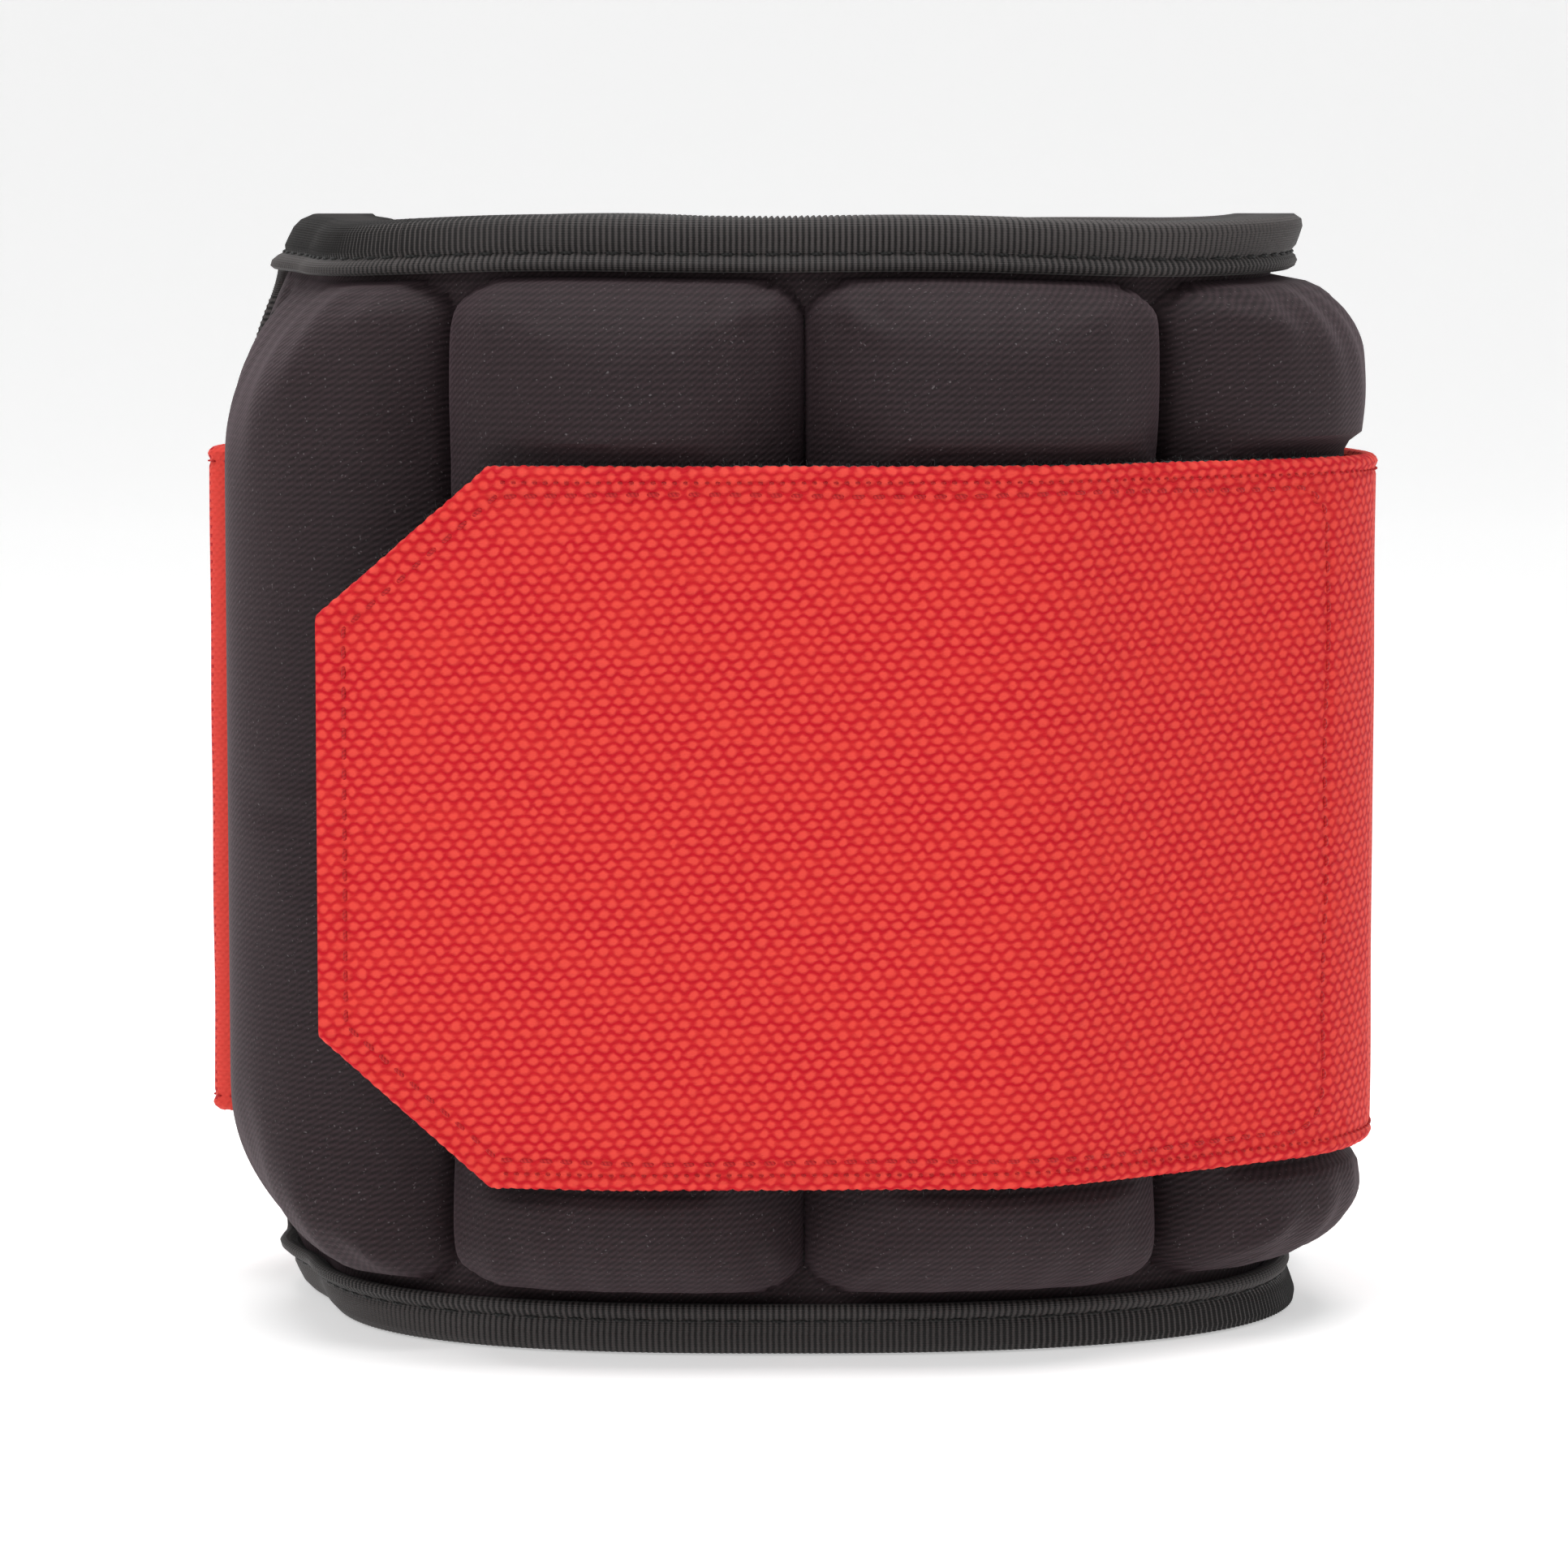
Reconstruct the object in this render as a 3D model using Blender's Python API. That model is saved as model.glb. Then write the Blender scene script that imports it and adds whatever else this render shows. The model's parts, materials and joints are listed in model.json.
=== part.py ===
"""Ankle cuff weight, standing on its lower edge with the strap's tab at the front (-Y).

The cuff is a band of seven sewn weight channels bent round the ankle. One end is an outer flap
with a slot, the other an inner tongue that lies under it. An elastic strap starts behind the
flap, turns back through the slot, runs round the cuff and is held at the front by its hook patch.

Every soft piece is placed on one wall: `arc` is the distance along the band, counted
anticlockwise seen from above and from the seam at the middle of the front; `height` is the
distance above the ground; `out` is the distance outwards from the line between the outer
fabric and the lining. Sizes are in metres.
"""
import math

import bmesh
import bpy
from mathutils import Vector

# ---- driving dimensions ----------------------------------------------------------------------
CUFF_HEIGHT = 0.120          # from the ground to the top edge
HALF_WIDTH = 0.050           # of the band's line, left to right
HALF_DEPTH = 0.035           # of the band's line, front to back
PLAN_EXPONENT = 2.6          # 2 is an ellipse, more is squarer
CHANNEL_PITCH = 0.0360       # from seam to seam
SEAM_OFFSET = 0.003          # the front middle seam lies this far right of the middle
CHANNELS_ON_BODY = 6         # weight channels between the flap's and the tongue's fold

FABRIC = 0.0030              # outer neoprene
LINING = 0.0020              # inner neoprene
CROWN = 0.0100               # how far a filled channel stands beyond its seams
LINING_PUFF = 0.0020         # how far a filled channel presses the lining inwards
POUCH_WALL = 0.0010
POUCH_ROOM = 0.0007          # round a pouch in its channel, and round the filling in its pouch
CLEARANCE = 0.0003           # between pieces that touch
SEAM_GAP = 0.0004            # between the panels at a seam

TAPE = 0.0015                # edge binding's wall
TAPE_REACH = 0.0058          # how far the binding reaches in from the edge
TAPE_ROOM = 0.0004           # between the binding and the fabric inside it
TAPE_CORD = 0.0008           # how far the binding's rolled edge stands out
TAPE_CORD_WIDTH = 0.0016     # of the rolled edge
TAPE_ROUND = 0.0011          # rounding of the binding's fold
TAPE_SHORT = 0.0010          # the binding's inner leg is this much shorter

LEFT_DRAW_IN = 0.0050        # the upper and lower rims lie this far in, on the left
RIGHT_FLARE = 0.0035         # and this far out, on the right
DRAW_START = 0.68            # share of the half height that stays upright

FLAP_LIFT = 0.0060           # the flap's end lies this far out, over the strap's root
FLAP_LIFT_START = 0.062      # arc from the front seam where the flap starts to lift
SLOT_INSET = 0.0035          # from the flap's last seam to the slot
SLOT_WIDTH = 0.0032
SLOT_MARGIN = 0.0100         # flap beyond the slot
SLOT_FACING = 0.0008         # facing round the slot
FACING_STANDS_OUT = 0.0004   # beyond the flap's outer fabric
FACING_STANDS_IN = 0.0002    # beyond its lining
FLAP_CORNER = 0.009

TONGUE_LENGTH = 0.064
TONGUE_FABRIC = 0.0022
TONGUE_CORNER = 0.030
TONGUE_TUCK = 0.0078         # the tongue lies this far in under the flap
TONGUE_TUCK_RUN = 0.0115     # arc over which it gets there
TONGUE_CURL = 0.0060         # and the tip curls this much further in

PATCH_THICKNESS = 0.0016     # hook-and-loop patch on the flap's lining
PATCH_EDGE = 0.0085          # red lining left round the patch
PATCH_SEAM_INSET = 0.001     # from the flap's last seam to the patch

STRAP_WIDTH = 0.075
STRAP_THICKNESS = 0.0018
STRAP_BOTTOM = 0.0195
HOOK_THICKNESS = 0.0012      # hook patch behind the tab
TAB_TIP_HEIGHT = 0.044
TAB_CHAMFER = 0.018
TAB_FREE_LENGTH = 0.031      # the tab's tip runs on straight past its last crown
TAB_FREE_TURN = 2.0          # degrees that it bends towards the cuff there
STRAP_SEAM_ARC = 0.052
STRAP_CORNER_ARC = 0.094     # where the strap's side link turns at the back right
STRAP_RISE_RUN = 0.024       # arc over which the strap climbs from the flap on to the crowns
STRAP_ROOM = 0.0006          # between the crowns and the strap
STRAP_PAST_END = 0.001       # the strap's legs at the slot run this far past the flap's end
STRAP_SLOT_PLAY = 0.0008     # between the slot's far edge and those legs
TURN_ROUND = 0.0006          # the turn starts and ends this far inside the legs
ROOT_ROOM = 0.0022           # between the flap's end and the end of the strap's root
ROOT_SEAM_ROOM = 0.0011      # between the tongue and the strap's root, for the tongue to flex

FLAT_CUT = 0.0005            # the lower edge is cut flat this deep
LIFT_OFF_GROUND = 0.0004     # the flap's and the tongue's lower edges stay off the ground

# ---- values that follow ----------------------------------------------------------------------
STRAP_MIDDLE = STRAP_BOTTOM + STRAP_WIDTH / 2
FRONT_FOLD = -CHANNEL_PITCH                        # fold between the body and the flap
FLAP_SEAM = FRONT_FOLD - CHANNEL_PITCH             # end of the flap's channel
SLOT_NEAR = FLAP_SEAM - SLOT_INSET
SLOT_FAR = SLOT_NEAR - SLOT_WIDTH
FLAP_END = SLOT_FAR - SLOT_MARGIN
BODY_END = FRONT_FOLD + CHANNELS_ON_BODY * CHANNEL_PITCH
TONGUE_END = BODY_END + TONGUE_LENGTH
EDGE_SEAT = TAPE + CLEARANCE                       # fabric ends this far inside the binding
CROWN_START = TAPE_REACH + 2 * CLEARANCE           # the channels swell from here, past the binding

COLOURS = {
    "neoprene": ((0.045, 0.038, 0.043), 0.85),
    "lining": ((0.42, 0.000, 0.022), 0.80),
    "tape": ((0.019, 0.019, 0.018), 0.70),
    "elastic": ((0.78, 0.042, 0.020), 0.85),
    "hook": ((0.012, 0.012, 0.012), 0.95),
    "pouch": ((0.30, 0.30, 0.30), 0.90),
    "iron": ((0.20, 0.19, 0.18), 0.55),
}


def clear_scene():
    for existing in list(bpy.data.objects):
        bpy.data.objects.remove(existing, do_unlink=True)


def make_material(slot, colour, roughness):
    material = bpy.data.materials.new(slot)
    material.use_nodes = True
    shader = material.node_tree.nodes["Principled BSDF"]
    shader.inputs["Base Color"].default_value = (*colour, 1.0)
    shader.inputs["Roughness"].default_value = roughness
    shader.inputs["Metallic"].default_value = 1.0 if slot == "iron" else 0.0
    return material


# ---- the band's line -------------------------------------------------------------------------
LINE_STEPS = 1440
NORMAL_REACH = 0.0045        # half the chord over which the line's normal is taken


def plan_curve():
    """Closed plan line from the middle of the front, anticlockwise, with the arc at each point."""
    power = 2.0 / PLAN_EXPONENT
    points = []
    for step in range(LINE_STEPS + 1):
        turn = -math.pi / 2 + 2 * math.pi * step / LINE_STEPS
        c, s = math.cos(turn), math.sin(turn)
        points.append(Vector((math.copysign(abs(c) ** power, c) * HALF_WIDTH,
                              math.copysign(abs(s) ** power, s) * HALF_DEPTH)))
    arcs = [0.0]
    for before, after in zip(points, points[1:]):
        arcs.append(arcs[-1] + (after - before).length)
    return points, arcs


LINE_POINTS, LINE_ARCS = plan_curve()
PERIMETER = LINE_ARCS[-1]


def on_line(arc):
    target = (arc + SEAM_OFFSET) % PERIMETER
    low, high = 0, LINE_STEPS
    while high - low > 1:
        middle = (low + high) // 2
        if LINE_ARCS[middle] <= target:
            low = middle
        else:
            high = middle
    share = (target - LINE_ARCS[low]) / (LINE_ARCS[high] - LINE_ARCS[low])
    return LINE_POINTS[low].lerp(LINE_POINTS[high], share)


def line_frame(arc):
    """Point and outward normal; the normal is taken over a short chord so that it turns evenly."""
    along = (on_line(arc + NORMAL_REACH) - on_line(arc - NORMAL_REACH)).normalized()
    return on_line(arc), Vector((along.y, -along.x))


def smooth(value):
    value = min(1.0, max(0.0, value))
    return value * value * (3 - 2 * value)


def body_shift(arc):
    return 0.0


def flap_shift(arc):
    """Outward lift of the flap's end."""
    return FLAP_LIFT * smooth((-arc - FLAP_LIFT_START) / (-SLOT_NEAR - FLAP_LIFT_START))


def tongue_shift(arc):
    """Inward tuck of the tongue, and the curl of its tip."""
    run = arc - BODY_END
    tuck = TONGUE_TUCK * smooth(run / TONGUE_TUCK_RUN)
    curl = TONGUE_CURL * smooth((run - TONGUE_LENGTH / 2) / (TONGUE_LENGTH / 2))
    return -tuck - curl


def rim_shift(height, normal):
    """The rims are drawn in on the left and flare a little on the right."""
    share = abs(2 * height / CUFF_HEIGHT - 1)
    near_rim = max(0.0, (share - DRAW_START) / (1 - DRAW_START)) ** 2
    side = -LEFT_DRAW_IN if normal.x < 0 else RIGHT_FLARE
    return side * normal.x ** 2 * near_rim


def place(arc, height, out, shift=body_shift):
    """World position of a point of the wall."""
    point, normal = line_frame(arc)
    flat = point + normal * (out + shift(arc) + rim_shift(height, normal))
    return Vector((flat.x, flat.y, height))


# ---- building closed pieces ------------------------------------------------------------------
def add_piece(name, mesh, slot, materials, sharp_angle=50):
    mesh.materials.append(materials[slot])
    mesh.shade_smooth()
    mesh.set_sharp_from_angle(angle=math.radians(sharp_angle))
    piece = bpy.data.objects.new(name, mesh)
    bpy.context.scene.collection.objects.link(piece)
    return piece


def slab_mesh(name, front, back, is_open=lambda row, column: False):
    """Closed body between two point grids of the same size; open cells become holes through it."""
    builder = bmesh.new()
    rows, columns = len(front), len(front[0])
    cells = [(row, column) for row in range(rows - 1) for column in range(columns - 1)
             if not is_open(row, column)]
    solid_cells = set(cells)
    front_verts, back_verts = {}, {}

    def corner(store, grid, row, column):
        if (row, column) not in store:
            store[row, column] = builder.verts.new(grid[row][column])
        return store[row, column]

    for row, column in cells:
        ring = [(row, column), (row, column + 1), (row + 1, column + 1), (row + 1, column)]
        builder.faces.new([corner(front_verts, front, *spot) for spot in ring])
        builder.faces.new([corner(back_verts, back, *spot) for spot in reversed(ring)])
        neighbours = [(row - 1, column), (row, column + 1), (row + 1, column), (row, column - 1)]
        for side, neighbour in enumerate(neighbours):
            if neighbour in solid_cells:
                continue
            first, second = ring[side], ring[(side + 1) % 4]
            builder.faces.new([front_verts[second], front_verts[first],
                               back_verts[first], back_verts[second]])
    bmesh.ops.recalc_face_normals(builder, faces=builder.faces[:])
    mesh = bpy.data.meshes.new(name)
    builder.to_mesh(mesh)
    builder.free()
    return mesh


def spread(first, last, count, ease=0.0):
    """count + 1 values from first to last; ease 1 crowds them at both ends."""
    values = []
    for step in range(count + 1):
        even = step / count
        crowded = 0.5 - 0.5 * math.cos(math.pi * even)
        values.append(first + (last - first) * (even * (1 - ease) + crowded * ease))
    return values


def wall_grid(arcs, heights_at, out_at, shift):
    """Grid of wall points; heights_at(arc) lists the heights and out_at(arc, height) the depth."""
    return [[place(arc, height, out_at(arc, height), shift) for height in heights_at(arc)]
            for arc in arcs]


# ---- weight channels -------------------------------------------------------------------------
CHANNEL_COLUMNS = 8
CHANNEL_ROWS = 10
STATIONS_PER_CHANNEL = 6     # of the lining and the binding along the body
ACROSS_FULLNESS = 0.62       # a half sine to this power: less is boxier
END_SQUARENESS = 5           # how late a channel starts to round off towards its ends
END_FULLNESS = 0.75
ROW_EASE = 0.6               # share by which rows and columns crowd towards a channel's borders


def crown_at(arc, height, first, last):
    """0 at a channel's seams and ends, 1 on its crown: full across, rounded off at both ends."""
    across = min(1.0, max(0.0, (arc - first) / (last - first)))
    along = min(1.0, max(0.0, (height - CROWN_START) / (CUFF_HEIGHT - 2 * CROWN_START)))
    full_across = math.sin(math.pi * across) ** ACROSS_FULLNESS
    full_along = (1 - abs(2 * along - 1) ** END_SQUARENESS) ** END_FULLNESS
    return full_across * full_along


def wall_heights(count, ease):
    """Rows of a full-height panel: one in each binding, the others evenly between them."""
    return [EDGE_SEAT, *spread(CROWN_START, CUFF_HEIGHT - CROWN_START, count, ease),
            CUFF_HEIGHT - EDGE_SEAT]


def flat_heights():
    """Rows of a panel without a crown: close together where the rims are drawn in."""
    upright = CUFF_HEIGHT / 2 * (1 - DRAW_START)
    low = [EDGE_SEAT, *spread(CROWN_START, upright, 2)]
    return [*low, CUFF_HEIGHT / 2, *[CUFF_HEIGHT - height for height in reversed(low)]]


def outer_depth(first, last):
    return lambda arc, height: FABRIC + CROWN * crown_at(arc, height, first, last)


def make_channel(label, first, last, shift, materials):
    """Cover, pouch and iron filling of one channel, each inside the other."""
    outside = outer_depth(first, last)
    heights = wall_heights(CHANNEL_ROWS - 2, ROW_EASE)
    arcs = spread(first + SEAM_GAP / 2, last - SEAM_GAP / 2, CHANNEL_COLUMNS, ROW_EASE)

    def cover_inside(arc, height):
        return max(CLEARANCE, outside(arc, height) - FABRIC)

    cover = slab_mesh(label, wall_grid(arcs, lambda arc: heights, outside, shift),
                      wall_grid(arcs, lambda arc: heights, cover_inside, shift))
    add_piece("outer_cover_" + label, cover, "neoprene", materials)

    pouch_arcs = arcs[1:-1]
    pouch_heights = heights[2:-2]

    def pouch_outside(arc, height):
        return cover_inside(arc, height) - POUCH_ROOM

    def pouch_inside(arc, height):
        return max(CLEARANCE, pouch_outside(arc, height) - POUCH_WALL)

    pouch = slab_mesh(label, wall_grid(pouch_arcs, lambda arc: pouch_heights, pouch_outside, shift),
                      wall_grid(pouch_arcs, lambda arc: pouch_heights, pouch_inside, shift))
    add_piece("weight_pouch_" + label, pouch, "pouch", materials)

    fill_arcs = arcs[2:-2]
    fill_heights = heights[3:-3]
    fill = slab_mesh(label, wall_grid(fill_arcs, lambda arc: fill_heights,
                                      lambda arc, height: pouch_inside(arc, height) - POUCH_ROOM,
                                      shift),
                     wall_grid(fill_arcs, lambda arc: fill_heights,
                               lambda arc, height: CLEARANCE, shift))
    add_piece("iron_fill_" + label, fill, "iron", materials)


# ---- linings ---------------------------------------------------------------------------------
def lining_depths(seams):
    """Lining's two faces: it presses inwards behind each channel between the given seams."""
    def puff(arc, height):
        for first, last in zip(seams, seams[1:]):
            if first <= arc <= last:
                return LINING_PUFF * crown_at(arc, height, first, last)
        return 0.0

    def outer_face(arc, height):
        return 0.0

    def inner_face(arc, height):
        return -LINING - puff(arc, height)

    return outer_face, inner_face


def make_body_lining(materials):
    seams = [FRONT_FOLD + CHANNEL_PITCH * step for step in range(CHANNELS_ON_BODY + 1)]
    outer_face, inner_face = lining_depths(seams)
    heights = flat_heights()
    arcs = spread(FRONT_FOLD + SEAM_GAP / 2, BODY_END - SEAM_GAP / 2,
                  CHANNELS_ON_BODY * STATIONS_PER_CHANNEL)
    mesh = slab_mesh("body_lining", wall_grid(arcs, lambda arc: heights, outer_face, body_shift),
                     wall_grid(arcs, lambda arc: heights, inner_face, body_shift))
    add_piece("body_lining", mesh, "lining", materials)


SLOT_ROWS = 5                                      # rows of panel beside the slot
FIRST_SLOT_ROW = 3
CORNER_STEPS = 8


def slot_heights():
    """Rows of the flap's panels, of which SLOT_ROWS lie beside the slot."""
    reach = STRAP_WIDTH / 2 + 2 * CLEARANCE + SLOT_FACING
    low, high = STRAP_MIDDLE - reach, STRAP_MIDDLE + reach
    top = CUFF_HEIGHT - CROWN_START
    return [EDGE_SEAT, CROWN_START, (CROWN_START + low) / 2, *spread(low, high, SLOT_ROWS),
            (high + top) / 2, top, CUFF_HEIGHT - EDGE_SEAT]


def rounded_heights(heights, end, corner):
    """Heights drawn together towards a panel's rounded end."""
    def at(arc):
        past = max(0.0, corner - abs(end - arc))
        cut = corner - math.sqrt(max(0.0, corner ** 2 - past ** 2))
        squeeze = (CUFF_HEIGHT - 2 * EDGE_SEAT - 2 * cut) / (CUFF_HEIGHT - 2 * EDGE_SEAT)
        middle = CUFF_HEIGHT / 2
        return [middle + (height - middle) * squeeze for height in heights]
    return at


def corner_arcs(end, corner, count, inward):
    """Arcs that step evenly round a corner's quarter circle, ending at the panel's end."""
    return [end + inward * corner * (1 - math.sin(math.pi / 2 * step / count))
            for step in range(1, count + 1)]


FLAP_PANEL_END = FLAP_END + EDGE_SEAT
TONGUE_PANEL_END = TONGUE_END - EDGE_SEAT


def flap_arcs():
    """Stations of the flap from its fold to where its corners begin."""
    slot_near, slot_far = SLOT_NEAR + SLOT_FACING, SLOT_FAR - SLOT_FACING
    channel_arcs = spread(FRONT_FOLD - SEAM_GAP / 2, FLAP_SEAM - SEAM_GAP / 2, CHANNEL_COLUMNS)
    return [*channel_arcs, slot_near, slot_far]


def tongue_arcs():
    """Stations of the tongue, closer together where it tucks in under the flap."""
    tucked = BODY_END + TONGUE_TUCK_RUN
    return [*spread(BODY_END + SEAM_GAP / 2, tucked, 6),
            *spread(tucked, TONGUE_END - TONGUE_CORNER, 4)[1:]]


def make_flap(materials):
    make_channel("1", FLAP_SEAM, FRONT_FOLD, flap_shift, materials)
    corner = FLAP_CORNER - EDGE_SEAT
    lining_arcs = [*flap_arcs(), *corner_arcs(FLAP_PANEL_END, corner, CORNER_STEPS, 1)]
    panel_arcs = lining_arcs[CHANNEL_COLUMNS:]
    heights = rounded_heights(slot_heights(), FLAP_PANEL_END, corner)
    middle_rows = range(FIRST_SLOT_ROW, FIRST_SLOT_ROW + SLOT_ROWS)

    mesh = slab_mesh("flap_end_panel",
                     wall_grid(panel_arcs, heights, lambda arc, height: FABRIC, flap_shift),
                     wall_grid(panel_arcs, heights, lambda arc, height: CLEARANCE, flap_shift),
                     lambda row, column: row == 1 and column in middle_rows)
    add_piece("flap_end_panel", mesh, "neoprene", materials)

    outer_face, inner_face = lining_depths([FLAP_SEAM, FRONT_FOLD])
    slot_row = CHANNEL_COLUMNS + 1
    mesh = slab_mesh("flap_lining", wall_grid(lining_arcs, heights, outer_face, flap_shift),
                     wall_grid(lining_arcs, heights, inner_face, flap_shift),
                     lambda row, column: row == slot_row and column in middle_rows)
    add_piece("flap_lining", mesh, "lining", materials)

    patch_arcs = spread(FRONT_FOLD - PATCH_EDGE, FLAP_SEAM + PATCH_SEAM_INSET, CHANNEL_COLUMNS)
    patch_heights = spread(EDGE_SEAT + PATCH_EDGE, CUFF_HEIGHT - EDGE_SEAT - PATCH_EDGE, 4)

    def patch_back(arc, height):
        return inner_face(arc, height) - CLEARANCE

    mesh = slab_mesh("flap_loop_patch",
                     wall_grid(patch_arcs, lambda arc: patch_heights, patch_back, flap_shift),
                     wall_grid(patch_arcs, lambda arc: patch_heights,
                               lambda arc, height: patch_back(arc, height) - PATCH_THICKNESS,
                               flap_shift))
    add_piece("flap_loop_patch", mesh, "hook", materials)
    make_slot_facing(materials)


def make_slot_facing(materials):
    """Flat frame of fabric tape that lines the slot's four edges, inside the panels' cut."""
    outer_reach = STRAP_WIDTH / 2 + CLEARANCE + SLOT_FACING
    inner_reach = outer_reach - SLOT_FACING
    arcs = [SLOT_NEAR + SLOT_FACING - CLEARANCE, SLOT_NEAR, SLOT_FAR,
            SLOT_FAR - SLOT_FACING + CLEARANCE]
    heights = [STRAP_MIDDLE - outer_reach, STRAP_MIDDLE - inner_reach, STRAP_MIDDLE,
               STRAP_MIDDLE + inner_reach, STRAP_MIDDLE + outer_reach]
    mesh = slab_mesh("slot_facing",
                     wall_grid(arcs, lambda arc: heights,
                               lambda arc, height: FABRIC + FACING_STANDS_OUT, flap_shift),
                     wall_grid(arcs, lambda arc: heights,
                               lambda arc, height: -LINING - FACING_STANDS_IN, flap_shift),
                     lambda row, column: row == 1 and column in (1, 2))
    add_piece("slot_facing", mesh, "tape", materials)


def make_tongue(materials):
    corner = TONGUE_CORNER - EDGE_SEAT
    arcs = [*tongue_arcs(), *corner_arcs(TONGUE_PANEL_END, corner, CORNER_STEPS, -1)]
    heights = rounded_heights(flat_heights(), TONGUE_PANEL_END, corner)
    faces = {"tongue_cover": (TONGUE_FABRIC, CLEARANCE, "neoprene"),
             "tongue_lining": (0.0, -LINING, "lining")}
    for name, (outside, inside, slot) in faces.items():
        mesh = slab_mesh(name,
                         wall_grid(arcs, heights, lambda arc, height: outside, tongue_shift),
                         wall_grid(arcs, heights, lambda arc, height: inside, tongue_shift))
        add_piece(name, mesh, slot, materials)


# ---- edge binding ----------------------------------------------------------------------------
def tape_section(outer_fabric):
    """Folded tape's outer and inner skin as (out, reach in from the edge)."""
    outer_seat = outer_fabric + TAPE_ROOM
    inner_seat = -LINING - TAPE_ROOM
    outer_skin = outer_seat + TAPE
    inner_skin = inner_seat - TAPE
    above_cord = TAPE_REACH - TAPE_CORD_WIDTH
    inner_reach = TAPE_REACH - TAPE_SHORT
    skin = [(outer_skin + TAPE_CORD, TAPE_REACH), (outer_skin, above_cord),
            (outer_skin, TAPE_ROUND), (outer_skin - TAPE_ROUND, 0.0),
            (inner_skin + TAPE_ROUND, 0.0), (inner_skin, TAPE_ROUND), (inner_skin, inner_reach)]
    seat = [(outer_seat, TAPE_REACH), (outer_seat, above_cord),
            (outer_seat, TAPE + TAPE_ROUND / 2), (outer_seat, TAPE),
            (inner_seat, TAPE), (inner_seat, TAPE + TAPE_ROUND / 2), (inner_seat, inner_reach)]
    return skin, seat


def make_binding(name, edge, outer_fabric, shift, materials, ground=0.0):
    """Tape folded over an edge. edge lists (arc, height, inward arc, inward height)."""
    skin, seat = tape_section(outer_fabric)

    def ring(section):
        rows = []
        for arc, height, inward_arc, inward_height in edge:
            row = []
            for out, reach in section:
                spot = place(arc + inward_arc * reach, height + inward_height * reach, out, shift)
                spot.z = max(spot.z, ground)
                row.append(spot)
            rows.append(row)
        return rows

    add_piece(name, slab_mesh(name, ring(skin), ring(seat)), "tape", materials, 60)


def straight_edge(first, last, count, height, inward):
    return [(arc, height, 0.0, inward) for arc in spread(first, last, count)]


def wrapped_edge(arcs, end, corner, low):
    """Top edge along the arcs, round the end's two corners, and the bottom edge back."""
    way = math.copysign(1.0, end - arcs[0])
    corner_arc = end - way * corner
    top, bottom = CUFF_HEIGHT, low
    edge = [(arc, top, 0.0, -1.0) for arc in arcs]
    turns = [math.pi / 2 * (1 - step / CORNER_STEPS) for step in range(1, CORNER_STEPS + 1)]

    def corner_point(turn, side, centre):
        return (corner_arc + way * corner * math.cos(turn), centre + side * corner * math.sin(turn),
                -way * math.cos(turn), -side * math.sin(turn))

    edge += [corner_point(turn, 1.0, top - corner) for turn in turns]
    rows = [row for row in reversed(slot_heights()) if bottom + corner < row < top - corner]
    edge += [(end, row, -way, 0.0) for row in rows]
    edge += [corner_point(turn, -1.0, bottom + corner) for turn in reversed(turns)]
    return edge + [(arc, bottom, 0.0, 1.0) for arc in reversed(arcs)]


def make_bindings(materials):
    first, last = FRONT_FOLD + SEAM_GAP / 2, BODY_END - SEAM_GAP / 2
    steps = CHANNELS_ON_BODY * STATIONS_PER_CHANNEL
    make_binding("top_binding", straight_edge(first, last, steps, CUFF_HEIGHT, -1.0), FABRIC,
                 body_shift, materials)
    make_binding("bottom_binding", straight_edge(first, last, steps, -FLAT_CUT, 1.0), FABRIC,
                 body_shift, materials)
    low = LIFT_OFF_GROUND - FLAT_CUT
    make_binding("flap_binding", wrapped_edge(flap_arcs(), FLAP_END, FLAP_CORNER, low), FABRIC,
                 flap_shift, materials, LIFT_OFF_GROUND)
    make_binding("tongue_binding", wrapped_edge(tongue_arcs(), TONGUE_END, TONGUE_CORNER, low),
                 TONGUE_FABRIC, tongue_shift, materials, LIFT_OFF_GROUND)


# ---- strap -----------------------------------------------------------------------------------
def flat_place(arc, out, shift=body_shift):
    """Plan position at a depth, for the strap, which stays upright."""
    point, normal = line_frame(arc)
    return point + normal * (out + shift(arc))


def make_ribbon(name, path, thickness, slot, materials, heights_at=None):
    """Upright ribbon: path is one skin in plan, and the ribbon lies thickness to its right."""
    low, high = STRAP_MIDDLE - STRAP_WIDTH / 2, STRAP_MIDDLE + STRAP_WIDTH / 2
    inner, outer = [], []
    for index, point in enumerate(path):
        before = path[max(0, index - 1)]
        after = path[min(len(path) - 1, index + 1)]
        along = (after - before).normalized()
        side = Vector((along.y, -along.x))
        bottom, top = heights_at(index) if heights_at else (low, high)
        levels = [bottom, top]
        inner.append([Vector((point.x, point.y, level)) for level in levels])
        far = point + side * thickness
        outer.append([Vector((far.x, far.y, level)) for level in levels])
    return add_piece(name, slab_mesh(name, outer, inner), slot, materials, 40)


TAB_RISE = HOOK_THICKNESS + CLEARANCE              # the tab's strap lies this far out, on its hook


def channel_profile():
    """Plan outline of the seven channels at half height, with the strap's room round them."""
    outline = []
    for number in range(-1, CHANNELS_ON_BODY):
        first = FRONT_FOLD + number * CHANNEL_PITCH
        shift = flap_shift if number < 0 else body_shift
        depth = outer_depth(first, first + CHANNEL_PITCH)
        for arc in spread(first, first + CHANNEL_PITCH, 4 * CHANNEL_COLUMNS):
            out = depth(arc, CUFF_HEIGHT / 2) + STRAP_ROOM
            outline.append(flat_place(arc, out, shift))
    return outline


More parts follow.
